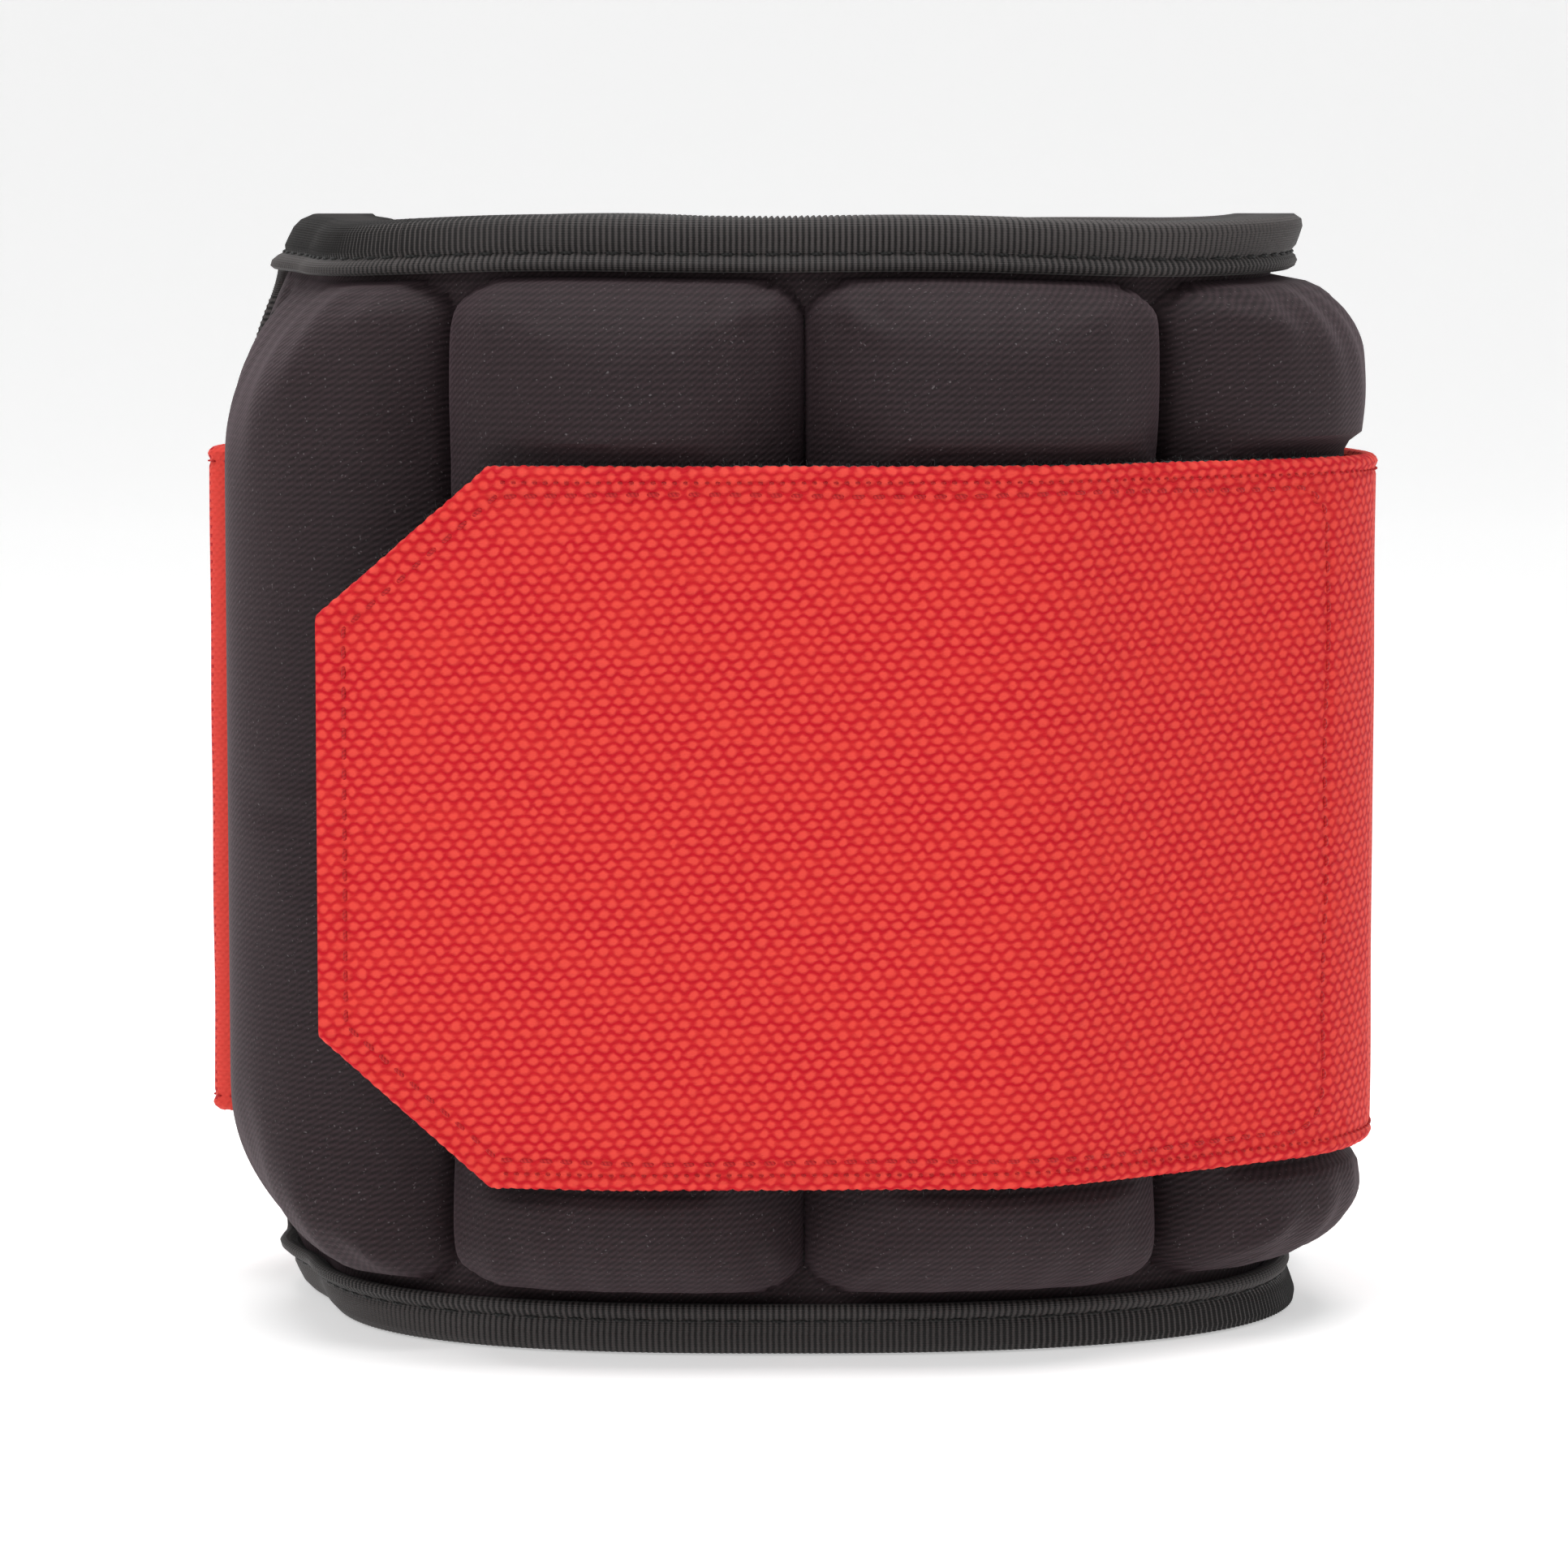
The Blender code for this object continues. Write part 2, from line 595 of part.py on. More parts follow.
def taut_round(points):
    """Convex outline round the points, anticlockwise: the way of a strap pulled tight."""
    ordered = sorted({(point.x, point.y) for point in points})

    def half(sequence):
        chain = []
        for spot in sequence:
            while len(chain) > 1:
                (ax, ay), (bx, by) = chain[-2], chain[-1]
                if (bx - ax) * (spot[1] - ay) - (by - ay) * (spot[0] - ax) > 0:
                    break
                chain.pop()
            chain.append(spot)
        return chain[:-1]

    return [Vector(spot) for spot in half(ordered) + half(ordered[::-1])]


TAUT_LINE = taut_round(channel_profile())


def taut_out(arc):
    """Depth at which the band's normal meets the taut line."""
    point, normal = line_frame(arc)
    best = 0.0
    for first, last in zip(TAUT_LINE, TAUT_LINE[1:] + TAUT_LINE[:1]):
        edge, offset = last - first, first - point
        cross = normal.x * edge.y - normal.y * edge.x
        if abs(cross) < 1e-12:
            continue
        depth = (offset.x * edge.y - offset.y * edge.x) / cross
        share = (offset.x * normal.y - offset.y * normal.x) / cross
        if depth > 0 and 0 <= share <= 1:
            best = max(best, depth)
    return best


def make_strap(materials):
    margin_in = -LINING - TAPE - TAPE_ROOM - CLEARANCE     # under the flap's bound end
    margin_out = FABRIC + TAPE + TAPE_CORD + TAPE_ROOM + CLEARANCE
    slot_middle = (SLOT_NEAR + SLOT_FAR) / 2
    turn_radius = STRAP_THICKNESS / 2

    # inner leg, turn through the slot and outer leg, as the skin that faces the flap's margin
    past_end, leg_start = FLAP_END - STRAP_PAST_END, SLOT_FAR - STRAP_SLOT_PLAY
    leg_in = [flat_place(arc, margin_in, flap_shift) for arc in spread(past_end, leg_start, 5)]
    leg_out = [flat_place(arc, margin_out, flap_shift) for arc in spread(leg_start, past_end, 5)]
    crossing = [flat_place(slot_middle - turn_radius, out, flap_shift)
                for out in spread(margin_in + TURN_ROUND, margin_out - TURN_ROUND, 3)]
    make_ribbon("strap_slot_turn", [*leg_in, *crossing, *leg_out], -STRAP_THICKNESS, "elastic",
                materials)

    # the root, sewn in the last seam of the body, reaches under the flap's end
    def root_out(arc):
        share = smooth((arc - BODY_END) / (PERIMETER + FLAP_END - BODY_END))
        lifted = flap_shift(FLAP_END) + margin_in - STRAP_THICKNESS
        seam = TONGUE_FABRIC + ROOT_SEAM_ROOM
        return seam + (lifted - seam) * share

    root = [flat_place(arc, root_out(arc))
            for arc in spread(BODY_END + CLEARANCE, PERIMETER + FLAP_END - ROOT_ROOM, 7)]
    make_ribbon("strap_root", root, STRAP_THICKNESS, "elastic", materials)

    # over the back: from the flap's bound end on to the crowns and along them
    back_start = PERIMETER + past_end

    def back_out(arc):
        rise = smooth((back_start - arc) / STRAP_RISE_RUN)
        low = flap_shift(FLAP_END) + margin_out
        return low + (taut_out(arc) - low) * rise

    back = [flat_place(arc, back_out(arc))
            for arc in spread(STRAP_CORNER_ARC + CLEARANCE / 2, back_start - CLEARANCE, 30)]
    make_ribbon("strap_back", back, STRAP_THICKNESS, "elastic", materials)

    # side link: it rises to the tab's height over its last stretch
    def side_out(arc):
        share = smooth((STRAP_CORNER_ARC - arc) / (STRAP_CORNER_ARC - STRAP_SEAM_ARC))
        return taut_out(arc) + TAB_RISE * share

    side = [flat_place(arc, side_out(arc))
            for arc in spread(STRAP_SEAM_ARC + CLEARANCE / 2,
                              STRAP_CORNER_ARC - CLEARANCE / 2, 10)]
    make_ribbon("strap_side", side, STRAP_THICKNESS, "elastic", materials)
    make_tab(materials)


def tab_path(rise):
    """Inner skin of the tab, from its tip to its seam: straight at first, then on the crowns."""
    last_crown = FRONT_FOLD + CHANNEL_PITCH / 2
    on_cuff = [flat_place(arc, taut_out(arc) + rise)
               for arc in spread(last_crown, STRAP_SEAM_ARC - CLEARANCE / 2, 16)]
    turn = math.radians(-TAB_FREE_TURN)
    along = (on_cuff[0] - on_cuff[1]).normalized()
    away = Vector((along.x * math.cos(turn) - along.y * math.sin(turn),
                   along.x * math.sin(turn) + along.y * math.cos(turn)))
    free = [TAB_FREE_LENGTH, TAB_FREE_LENGTH - TAB_CHAMFER, TAB_FREE_LENGTH / 4]
    return [*(on_cuff[0] + away * distance for distance in free), *on_cuff]


def make_tab(materials):
    """Strap's free end with cut corners, and the hook patch behind it with the same outline."""
    def heights_at(index):
        half = (TAB_TIP_HEIGHT if index == 0 else STRAP_WIDTH) / 2
        return STRAP_MIDDLE - half, STRAP_MIDDLE + half

    make_ribbon("strap_tab", tab_path(TAB_RISE), STRAP_THICKNESS, "elastic", materials, heights_at)
    make_ribbon("tab_hook_patch", tab_path(0.0), HOOK_THICKNESS, "hook", materials, heights_at)


# ---- hinges ----------------------------------------------------------------------------------
def hinge_places():
    """Plan position of each upright fold axis, on the skin that the fold closes."""
    tape_out = FABRIC + TAPE_ROOM + TAPE + TAPE_CORD
    tape_in = -LINING - TAPE_ROOM - TAPE
    seam_out = taut_out(STRAP_SEAM_ARC) + TAB_RISE + STRAP_THICKNESS
    corner_out = taut_out(STRAP_CORNER_ARC) + STRAP_THICKNESS
    return {
        "outer_flap_hinge": flat_place(FRONT_FOLD, tape_out),
        "tongue_hinge": place(BODY_END, 0.0, tape_in).to_2d(),
        "strap_side_hinge": flat_place(STRAP_CORNER_ARC, corner_out),
        "strap_tab_hinge": flat_place(STRAP_SEAM_ARC, seam_out),
    }


CARRIED = {
    "outer_flap_hinge": ("outer_cover_1", "weight_pouch_1", "iron_fill_1", "flap_end_panel",
                         "flap_lining", "flap_loop_patch", "slot_facing", "flap_binding",
                         "strap_slot_turn"),
    "tongue_hinge": ("tongue_cover", "tongue_lining", "tongue_binding"),
    "strap_side_hinge": ("strap_side",),
    "strap_tab_hinge": ("strap_tab", "tab_hook_patch"),
}


def make_empty(name, parent, location):
    empty = bpy.data.objects.new(name, None)
    empty.empty_display_size = 0.01
    bpy.context.scene.collection.objects.link(empty)
    empty.parent = parent
    empty.location = location
    return empty


def hang_on_hinges(pieces):
    """Parents the pieces so that the cuff stands on the middle of its own outline."""
    corners = [vertex.co for piece in pieces for vertex in piece.data.vertices]
    middle = [(min(spot[axis] for spot in corners) + max(spot[axis] for spot in corners)) / 2
              for axis in (0, 1)]
    cuff = make_empty("cuff", None, (-middle[0], -middle[1], 0.0))
    places = {name: Vector((spot.x, spot.y, 0.0)) for name, spot in hinge_places().items()}
    hinges = {name: make_empty(name, cuff, spot) for name, spot in places.items()}
    hinges["strap_tab_hinge"].parent = hinges["strap_side_hinge"]
    hinges["strap_tab_hinge"].location = places["strap_tab_hinge"] - places["strap_side_hinge"]
    carrier = {piece: hinge for hinge, names in CARRIED.items() for piece in names}
    for piece in pieces:
        hinge = carrier.get(piece.name)
        piece.parent = hinges[hinge] if hinge else cuff
        piece.location = -places[hinge] if hinge else (0.0, 0.0, 0.0)


def main():
    clear_scene()
    materials = {slot: make_material(slot, *look) for slot, look in COLOURS.items()}
    for number in range(CHANNELS_ON_BODY):
        first = FRONT_FOLD + number * CHANNEL_PITCH
        make_channel(str(number + 2), first, first + CHANNEL_PITCH, body_shift, materials)
    make_body_lining(materials)
    make_flap(materials)
    make_tongue(materials)
    make_bindings(materials)
    make_strap(materials)
    hang_on_hinges([piece for piece in bpy.context.scene.objects if piece.type == "MESH"])


main()
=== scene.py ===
"""Looks of the ankle cuff weight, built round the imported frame.

Every soft piece lies on one wall, as the frame's solids do. `arc` is the distance along the band,
anticlockwise seen from above, from the tip of the flap over the body to the tip of the tongue;
`height` is the distance above the ground; `out` is the distance outwards from the line between
the outer fabric and the lining. Sizes are in metres. Each fabric carries the UV layer "weave", in
metres, so that its ribs and knit run along the band.
"""
import json
import math
import random

import bmesh
import bpy
import numpy as np
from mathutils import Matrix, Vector


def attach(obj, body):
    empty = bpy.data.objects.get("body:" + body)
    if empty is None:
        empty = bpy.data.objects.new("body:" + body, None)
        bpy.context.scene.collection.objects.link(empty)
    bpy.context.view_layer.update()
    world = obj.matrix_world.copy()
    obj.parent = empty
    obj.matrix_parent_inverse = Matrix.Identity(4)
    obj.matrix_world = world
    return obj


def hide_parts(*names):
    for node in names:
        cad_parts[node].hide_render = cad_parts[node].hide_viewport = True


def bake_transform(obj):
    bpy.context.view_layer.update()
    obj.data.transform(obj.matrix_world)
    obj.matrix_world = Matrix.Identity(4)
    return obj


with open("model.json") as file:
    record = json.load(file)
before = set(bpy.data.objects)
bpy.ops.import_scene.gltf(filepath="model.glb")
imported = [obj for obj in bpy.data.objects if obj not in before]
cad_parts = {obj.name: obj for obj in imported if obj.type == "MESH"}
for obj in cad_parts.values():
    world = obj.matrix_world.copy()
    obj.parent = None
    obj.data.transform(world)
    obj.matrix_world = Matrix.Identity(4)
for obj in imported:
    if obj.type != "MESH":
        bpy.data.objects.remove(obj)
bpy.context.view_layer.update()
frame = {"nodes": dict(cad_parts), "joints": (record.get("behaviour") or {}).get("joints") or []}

# ---- sizes of the frame's solids -------------------------------------------------------------
CUFF_HEIGHT = 0.120
HALF_WIDTH = 0.050
HALF_DEPTH = 0.035
PLAN_EXPONENT = 2.6
CHANNEL_PITCH = 0.0360
SEAM_OFFSET = 0.003
CHANNELS = 7
FABRIC = 0.0030
LINING = 0.0020
CROWN = 0.0100
CLEARANCE = 0.0003
TAPE = 0.0015
TAPE_REACH = 0.0058
TAPE_ROOM = 0.0004
TAPE_CORD = 0.0008
LEFT_DRAW_IN = 0.0050
RIGHT_FLARE = 0.0035
DRAW_START = 0.68
FLAP_LIFT = 0.0060
FLAP_LIFT_START = 0.062
SLOT_INSET = 0.0035
SLOT_WIDTH = 0.0032
SLOT_MARGIN = 0.0100
SLOT_FACING = 0.0008
FLAP_CORNER = 0.009
TONGUE_LENGTH = 0.064
TONGUE_FABRIC = 0.0022
TONGUE_CORNER = 0.030
TONGUE_TUCK = 0.0078
TONGUE_TUCK_RUN = 0.0115
TONGUE_CURL = 0.0060
PATCH_THICKNESS = 0.0016
PATCH_EDGE = 0.0085
STRAP_WIDTH = 0.075
STRAP_THICKNESS = 0.0018
STRAP_BOTTOM = 0.0195
HOOK_THICKNESS = 0.0012
TAB_TIP_HEIGHT = 0.044
TAB_CHAMFER = 0.018
TAB_FREE_LENGTH = 0.031
TAB_FREE_TURN = 2.0
STRAP_SEAM_ARC = 0.052
STRAP_CORNER_ARC = 0.094
STRAP_RISE_RUN = 0.024
STRAP_ROOM = 0.0006
STRAP_PAST_END = 0.001
ROOT_ROOM = 0.0022
ROOT_SEAM_ROOM = 0.0011

STRAP_MIDDLE = STRAP_BOTTOM + STRAP_WIDTH / 2
STRAP_TOP = STRAP_BOTTOM + STRAP_WIDTH
FRONT_FOLD = -CHANNEL_PITCH
FLAP_SEAM = FRONT_FOLD - CHANNEL_PITCH
SLOT_NEAR = FLAP_SEAM - SLOT_INSET
SLOT_FAR = SLOT_NEAR - SLOT_WIDTH
FLAP_END = SLOT_FAR - SLOT_MARGIN
BODY_END = FLAP_SEAM + CHANNELS * CHANNEL_PITCH
TONGUE_END = BODY_END + TONGUE_LENGTH
EDGE_SEAT = TAPE + CLEARANCE
CROWN_START = TAPE_REACH + 2 * CLEARANCE
TAB_RISE = HOOK_THICKNESS + CLEARANCE
FLAP_PANEL_END = FLAP_END + EDGE_SEAT
TONGUE_PANEL_END = TONGUE_END - EDGE_SEAT

# ---- sizes of the looks ----------------------------------------------------------------------
FOLD_REACH = 0.006           # the fold pieces reach this arc on each side of a fold
RIM_WAVE = 0.0003            # the upper rim waves by this much
RIM_WAVES = ((0.0135, 2.2, 1.0), (0.0074, -0.6, 0.7))     # length, phase and share of its waves
RIM_WAVE_START = 0.8         # share of the height above which the rim waves
GATHER = 0.0007              # puckers where the channels meet the binding
GATHER_PITCH = 0.0046
GATHER_DRIFT = 0.011         # length over which their pitch drifts
GATHER_RUN = 0.006
GATHER_START = 0.0015
GATHER_IN_SEAM = 0.3         # share of the puckers that is left in the seams
BULGE = 0.0014               # the channels swell beyond the strap's edges
BULGE_RUN = 0.007
STRAP_EASE = 0.010           # past the strap's edges the channels may stand out this much further
STRAP_EASE_START = 0.0005
STRAP_EASE_RUN = 0.006
DENT = 0.00035               # soft unevenness of the filling
DENT_PITCH = 0.021
LINING_PUFF = 0.0028         # the lining swells inwards behind each channel
LINING_FULLNESS = 0.8
LINING_DENT = 0.0004
LINING_DENTS = (0.017, 0.009)
FLAP_RIM_SHARE = 0.5         # the flap's lift is less by this share at its rims
FLAP_RIM_START = 0.60
FLAT_START = -0.046          # towards the slot the flap's channel lies flatter, so the strap shows
FLAT_RUN = 0.014
FLATTER = 0.9
FABRIC_WAVE = 0.0002         # unevenness of the flat panels
STRAP_SAG = 0.0005           # the strap dips between the crowns
RIB_PITCH = 0.00062          # of the binding
RIB_HEIGHT = 0.00022
TAPE_STITCH = 0.0023         # pitch of the stitches in the binding, the tab and the seams
TAB_STITCH = 0.0021
SEAM_STITCH = 0.0026
STITCH_INSET = 0.0029        # of the stitches from the tab's edge
STITCH_GROOVE = 0.0002       # depth
THREAD = 0.00020             # radius
CLOSE = 1e-5                 # stations nearer than this are one


# ---- the band's wall -------------------------------------------------------------------------
LINE_STEPS = 1440
NORMAL_REACH = 0.0045


def plan_curve():
    """Closed plan line from the middle of the front, anticlockwise, with the arc at each point."""
    power = 2.0 / PLAN_EXPONENT
    turn = -math.pi / 2 + 2 * math.pi * np.arange(LINE_STEPS + 1) / LINE_STEPS
    c, s = np.cos(turn), np.sin(turn)
    points = np.stack([np.sign(c) * np.abs(c) ** power * HALF_WIDTH,
                       np.sign(s) * np.abs(s) ** power * HALF_DEPTH], -1)
    steps = np.linalg.norm(np.diff(points, axis=0), axis=1)
    return points, np.concatenate([[0.0], np.cumsum(steps)])


LINE_POINTS, LINE_ARCS = plan_curve()
PERIMETER = LINE_ARCS[-1]


def on_line(arc):
    target = np.mod(np.asarray(arc, float) + SEAM_OFFSET, PERIMETER)
    return np.stack([np.interp(target, LINE_ARCS, LINE_POINTS[:, axis]) for axis in (0, 1)], -1)


def line_frame(arc):
    along = on_line(arc + NORMAL_REACH) - on_line(arc - NORMAL_REACH)
    along /= np.linalg.norm(along, axis=-1, keepdims=True)
    return on_line(arc), np.stack([along[..., 1], -along[..., 0]], -1)


def smooth(value):
    value = np.clip(value, 0.0, 1.0)
    return value * value * (3 - 2 * value)


def wall_shift(arc):
    """Outward lift of the flap's end, and inward tuck and curl of the tongue."""
    lift = FLAP_LIFT * smooth((-arc - FLAP_LIFT_START) / (-SLOT_NEAR - FLAP_LIFT_START))
    run = arc - BODY_END
    tuck = TONGUE_TUCK * smooth(run / TONGUE_TUCK_RUN)
    curl = TONGUE_CURL * smooth((run - TONGUE_LENGTH / 2) / (TONGUE_LENGTH / 2))
    return lift - tuck - curl


def rim_shift(height, normal_x):
    """The rims are drawn in on the left and flare a little on the right."""
    share = np.abs(2 * height / CUFF_HEIGHT - 1)
    near_rim = np.maximum(0.0, (share - DRAW_START) / (1 - DRAW_START)) ** 2
    side = np.where(normal_x < 0, -LEFT_DRAW_IN, RIGHT_FLARE)
    return side * normal_x ** 2 * near_rim


def band_offset():
    """The frame's origin lies under the middle of the whole cuff, the band's line beside it."""
    hinge = next(joint for joint in frame["joints"] if joint["name"] == "outer_flap_open")
    point, normal = line_frame(np.array(FRONT_FOLD))
    return np.array(hinge["pos_m"][:2]) - point - normal * (FABRIC + TAPE_ROOM + TAPE + TAPE_CORD)


BAND_OFFSET = band_offset()


def rim_wave(arc):
    waves = (share * np.sin(arc / length + phase) for length, phase, share in RIM_WAVES)
    return RIM_WAVE * sum(waves)


def wall(arc, height, out):
    """World positions of points of the wall; the three may be arrays."""
    arc, height, out = (np.asarray(value, float) for value in (arc, height, out))
    arc, height, out = np.broadcast_arrays(arc, height, out)
    point, normal = line_frame(arc)
    share = np.abs(2 * height / CUFF_HEIGHT - 1)
    near_rim = smooth((share - FLAP_RIM_START) / (1 - FLAP_RIM_START))
    shift = wall_shift(arc)
    shift = shift - FLAP_RIM_SHARE * near_rim * np.maximum(0, shift)
    depth = out + shift + rim_shift(height, normal[..., 0])
    flat = point + normal * depth[..., None] + BAND_OFFSET
    lift = rim_wave(arc) * smooth((height / CUFF_HEIGHT - RIM_WAVE_START) / (1 - RIM_WAVE_START))
    return np.concatenate([flat, (height + lift)[..., None]], -1)


def flat_place(arc, out):
    """Plan positions at a depth, for the strap, which stays upright."""
    point, normal = line_frame(np.asarray(arc, float))
    return point + normal * (out + wall_shift(np.asarray(arc, float)))[..., None]


def spread(first, last, count, ease=0.0):
    """count + 1 values from first to last; ease 1 crowds them at both ends."""
    even = np.arange(count + 1) / count
    crowded = 0.5 - 0.5 * np.cos(math.pi * even)
    return first + (last - first) * (even * (1 - ease) + crowded * ease)


def ripple(across, along, seed, pitch):
    """Soft unevenness between -1 and 1: a few waves of random direction and length."""
    draw = random.Random(seed)
    total, waves = 0.0, 7
    for _ in range(waves):
        turn = draw.uniform(0, math.pi)
        length, phase = pitch * draw.uniform(0.6, 1.7), draw.uniform(0, 6)
        total = total + np.sin((across * math.cos(turn) + along * math.sin(turn))
                               * 2 * math.pi / length + phase)
    return total / waves


# ---- channels --------------------------------------------------------------------------------
CROWN_FULLNESS = 0.44        # how steeply a channel rises from its seams
END_RISE = 0.0095            # a channel is full this far from its ends
SHOULDER_RISE = 0.0140       # the flap's channel rises over this much more, in a rounder shoulder
SHOULDER_START = 0.004       # past the front fold
SHOULDER_RUN = 0.016
CORNER_SHAPE = 5.0           # corners are rounded as a superellipse of this exponent
ACROSS_FULLNESS = 0.62       # fullness of the frame's channels, over which the strap runs


def crown(arc, height):
    """0 at a channel's seams and ends, 1 on its crown, with rounded corners."""
    place = (arc - FLAP_SEAM) / CHANNEL_PITCH
    inside = (place >= 0) & (place <= CHANNELS)
    across = np.clip(place - np.clip(np.floor(place), 0, CHANNELS - 1), 0, 1)
    from_seam = 1 - np.abs(2 * across - 1)
    rise = END_RISE + SHOULDER_RISE * smooth((FRONT_FOLD - SHOULDER_START - arc) / SHOULDER_RUN)
    from_end = np.clip((np.minimum(height, CUFF_HEIGHT - height) - CROWN_START) / rise, 0, 1)
    missing = (1 - from_seam) ** CORNER_SHAPE + (1 - from_end) ** CORNER_SHAPE
    missing = missing ** (1 / CORNER_SHAPE)
    full = np.sin(math.pi / 2 * np.clip(1 - missing, 0, 1)) ** CROWN_FULLNESS
    return np.where(inside, full, 0.0)


def channel_profile():
    """Plan outline of the seven channels at half height, with the strap's room round them."""
    arcs = np.concatenate([spread(FLAP_SEAM + number * CHANNEL_PITCH,
                                  FLAP_SEAM + (number + 1) * CHANNEL_PITCH, 32)
                           for number in range(CHANNELS)])
    across = np.mod((arcs - FLAP_SEAM) / CHANNEL_PITCH, 1.0)
    full = np.sin(math.pi * across) ** ACROSS_FULLNESS
    return flat_place(arcs, FABRIC + CROWN * full + STRAP_ROOM)


def taut_round(points):
    """Convex outline round the points, anticlockwise: the way of a strap pulled tight."""
    ordered = sorted({(float(x), float(y)) for x, y in points})

    def half(sequence):
        chain = []
        for spot in sequence:
            while len(chain) > 1:
                (ax, ay), (bx, by) = chain[-2], chain[-1]
                if (bx - ax) * (spot[1] - ay) - (by - ay) * (spot[0] - ax) > 0:
                    break
                chain.pop()
            chain.append(spot)
        return chain[:-1]

    return np.array(half(ordered) + half(ordered[::-1]))


TAUT_LINE = taut_round(channel_profile())


def taut_out_at(arc):
    point, normal = line_frame(np.array(arc))
    first, last = TAUT_LINE, np.roll(TAUT_LINE, -1, 0)
    edge, offset = last - first, first - point
    cross = normal[0] * edge[:, 1] - normal[1] * edge[:, 0]
    cross = np.where(np.abs(cross) < 1e-12, 1e-12, cross)
    depth = (offset[:, 0] * edge[:, 1] - offset[:, 1] * edge[:, 0]) / cross
    share = (offset[:, 0] * normal[1] - offset[:, 1] * normal[0]) / cross
    return depth[(depth > 0) & (share >= 0) & (share <= 1)].max()


TAUT_ARCS = np.linspace(0.0, PERIMETER, 565)
TAUT_OUTS = np.array([taut_out_at(arc) for arc in TAUT_ARCS])


def taut_out(arc):
    """Depth at which the band's normal meets the taut line."""
    return np.interp(np.mod(arc, PERIMETER), TAUT_ARCS, TAUT_OUTS)


MARGIN_IN = -LINING - TAPE - TAPE_ROOM - CLEARANCE
MARGIN_OUT = FABRIC + TAPE + TAPE_CORD + TAPE_ROOM + CLEARANCE
BACK_START = PERIMETER + FLAP_END - STRAP_PAST_END


def strap_inner_out(arc):
    """Depth of the strap's inner skin over the body, from its rise at the flap's end."""
    low = FLAP_LIFT + MARGIN_OUT
    rise = smooth((BACK_START - arc) / STRAP_RISE_RUN)
    hook = TAB_RISE * smooth((STRAP_CORNER_ARC - arc) / (STRAP_CORNER_ARC - STRAP_SEAM_ARC))
    return low + (taut_out(arc) - low) * rise + hook


CREASE = 0.0005              # depth of the folds
CREASES = 2                  # at each end and each side of a seam
CREASE_SPANS = ((0.0015, 0.0075), (0.0004, 0.0020), (0.005, 0.010), (0.35, 1.1))
CREASE_FADES = (0.001, 0.002, 0.005)         # how the folds start and end
CREASE_RIDGE, CREASE_VALLEY = (0.0016, 0.0012), 0.0010


def creases(arc, height):
    """Short slanted folds of the fabric where the channel seams meet the binding.

    A fold is drawn by its distance from the seam, its start, its reach and its slope.
    """
    draw = random.Random(23)
    early, fade_in, fade_out = CREASE_FADES
    ridge, ridge_width = CREASE_RIDGE
    total = np.zeros(np.broadcast(arc, height).shape)
    for number in range(CHANNELS + 1):
        for end, down in ((CROWN_START, 1), (CUFF_HEIGHT - CROWN_START, -1)):
            for side in (-1, 1):
                for _ in range(CREASES):
                    across, start, reach, slope = (draw.uniform(*span) for span in CREASE_SPANS)
                    x = side * (arc - FLAP_SEAM - number * CHANNEL_PITCH) - across
                    y = down * (height - end) - start
                    length = math.hypot(1, slope)
                    run = (x + slope * y) / length
                    beside = (y - slope * x) / length
                    fade = smooth((run + early) / fade_in) * smooth((reach - run) / fade_out)
                    total = total + fade * (np.exp(-((beside - ridge) / ridge_width) ** 2)
                                            - np.exp(-(beside / CREASE_VALLEY) ** 2))
    return CREASE * total


def outer_out(arc, height, moved=0.0):
    """Depth of the outer fabric; the strap holds down the channels that it crosses."""
    flat_side = smooth((FLAT_START - arc) / FLAT_RUN)
    full = crown(arc, height) ** (1 + FLATTER * flat_side)
    fabric = FABRIC + (TONGUE_FABRIC - FABRIC) * smooth((arc - BODY_END) / FOLD_REACH)
    beside = np.minimum(np.abs(height - STRAP_TOP - BULGE_RUN),
                        np.abs(height - STRAP_BOTTOM + BULGE_RUN))
    bulge = BULGE * np.exp(-(beside / BULGE_RUN) ** 2)
    from_end = np.minimum(height - CROWN_START, CUFF_HEIGHT - CROWN_START - height)
    gather = GATHER * np.exp(-np.maximum(0, from_end) / GATHER_RUN)
    gather = gather * smooth(from_end / GATHER_START)
    gather = gather * np.sin(arc * 2 * math.pi / GATHER_PITCH + 3 * np.sin(arc / GATHER_DRIFT))
    dent = DENT * ripple(arc, height, 4, DENT_PITCH)
    swelling = (bulge + dent + creases(arc, height)) * full + moved
    gather = gather * (GATHER_IN_SEAM + (1 - GATHER_IN_SEAM) * full)
    out = fabric + full * CROWN + gather + swelling * (1 - flat_side)
    past_strap = np.maximum(height - STRAP_TOP, STRAP_BOTTOM - height)
    limit = np.minimum(strap_inner_out(arc), taut_out(arc)) - CLEARANCE
    limit = limit + STRAP_EASE * smooth((past_strap - STRAP_EASE_START) / STRAP_EASE_RUN)
    return np.where((arc > FRONT_FOLD) & (arc < BODY_END), np.minimum(out, limit), out)


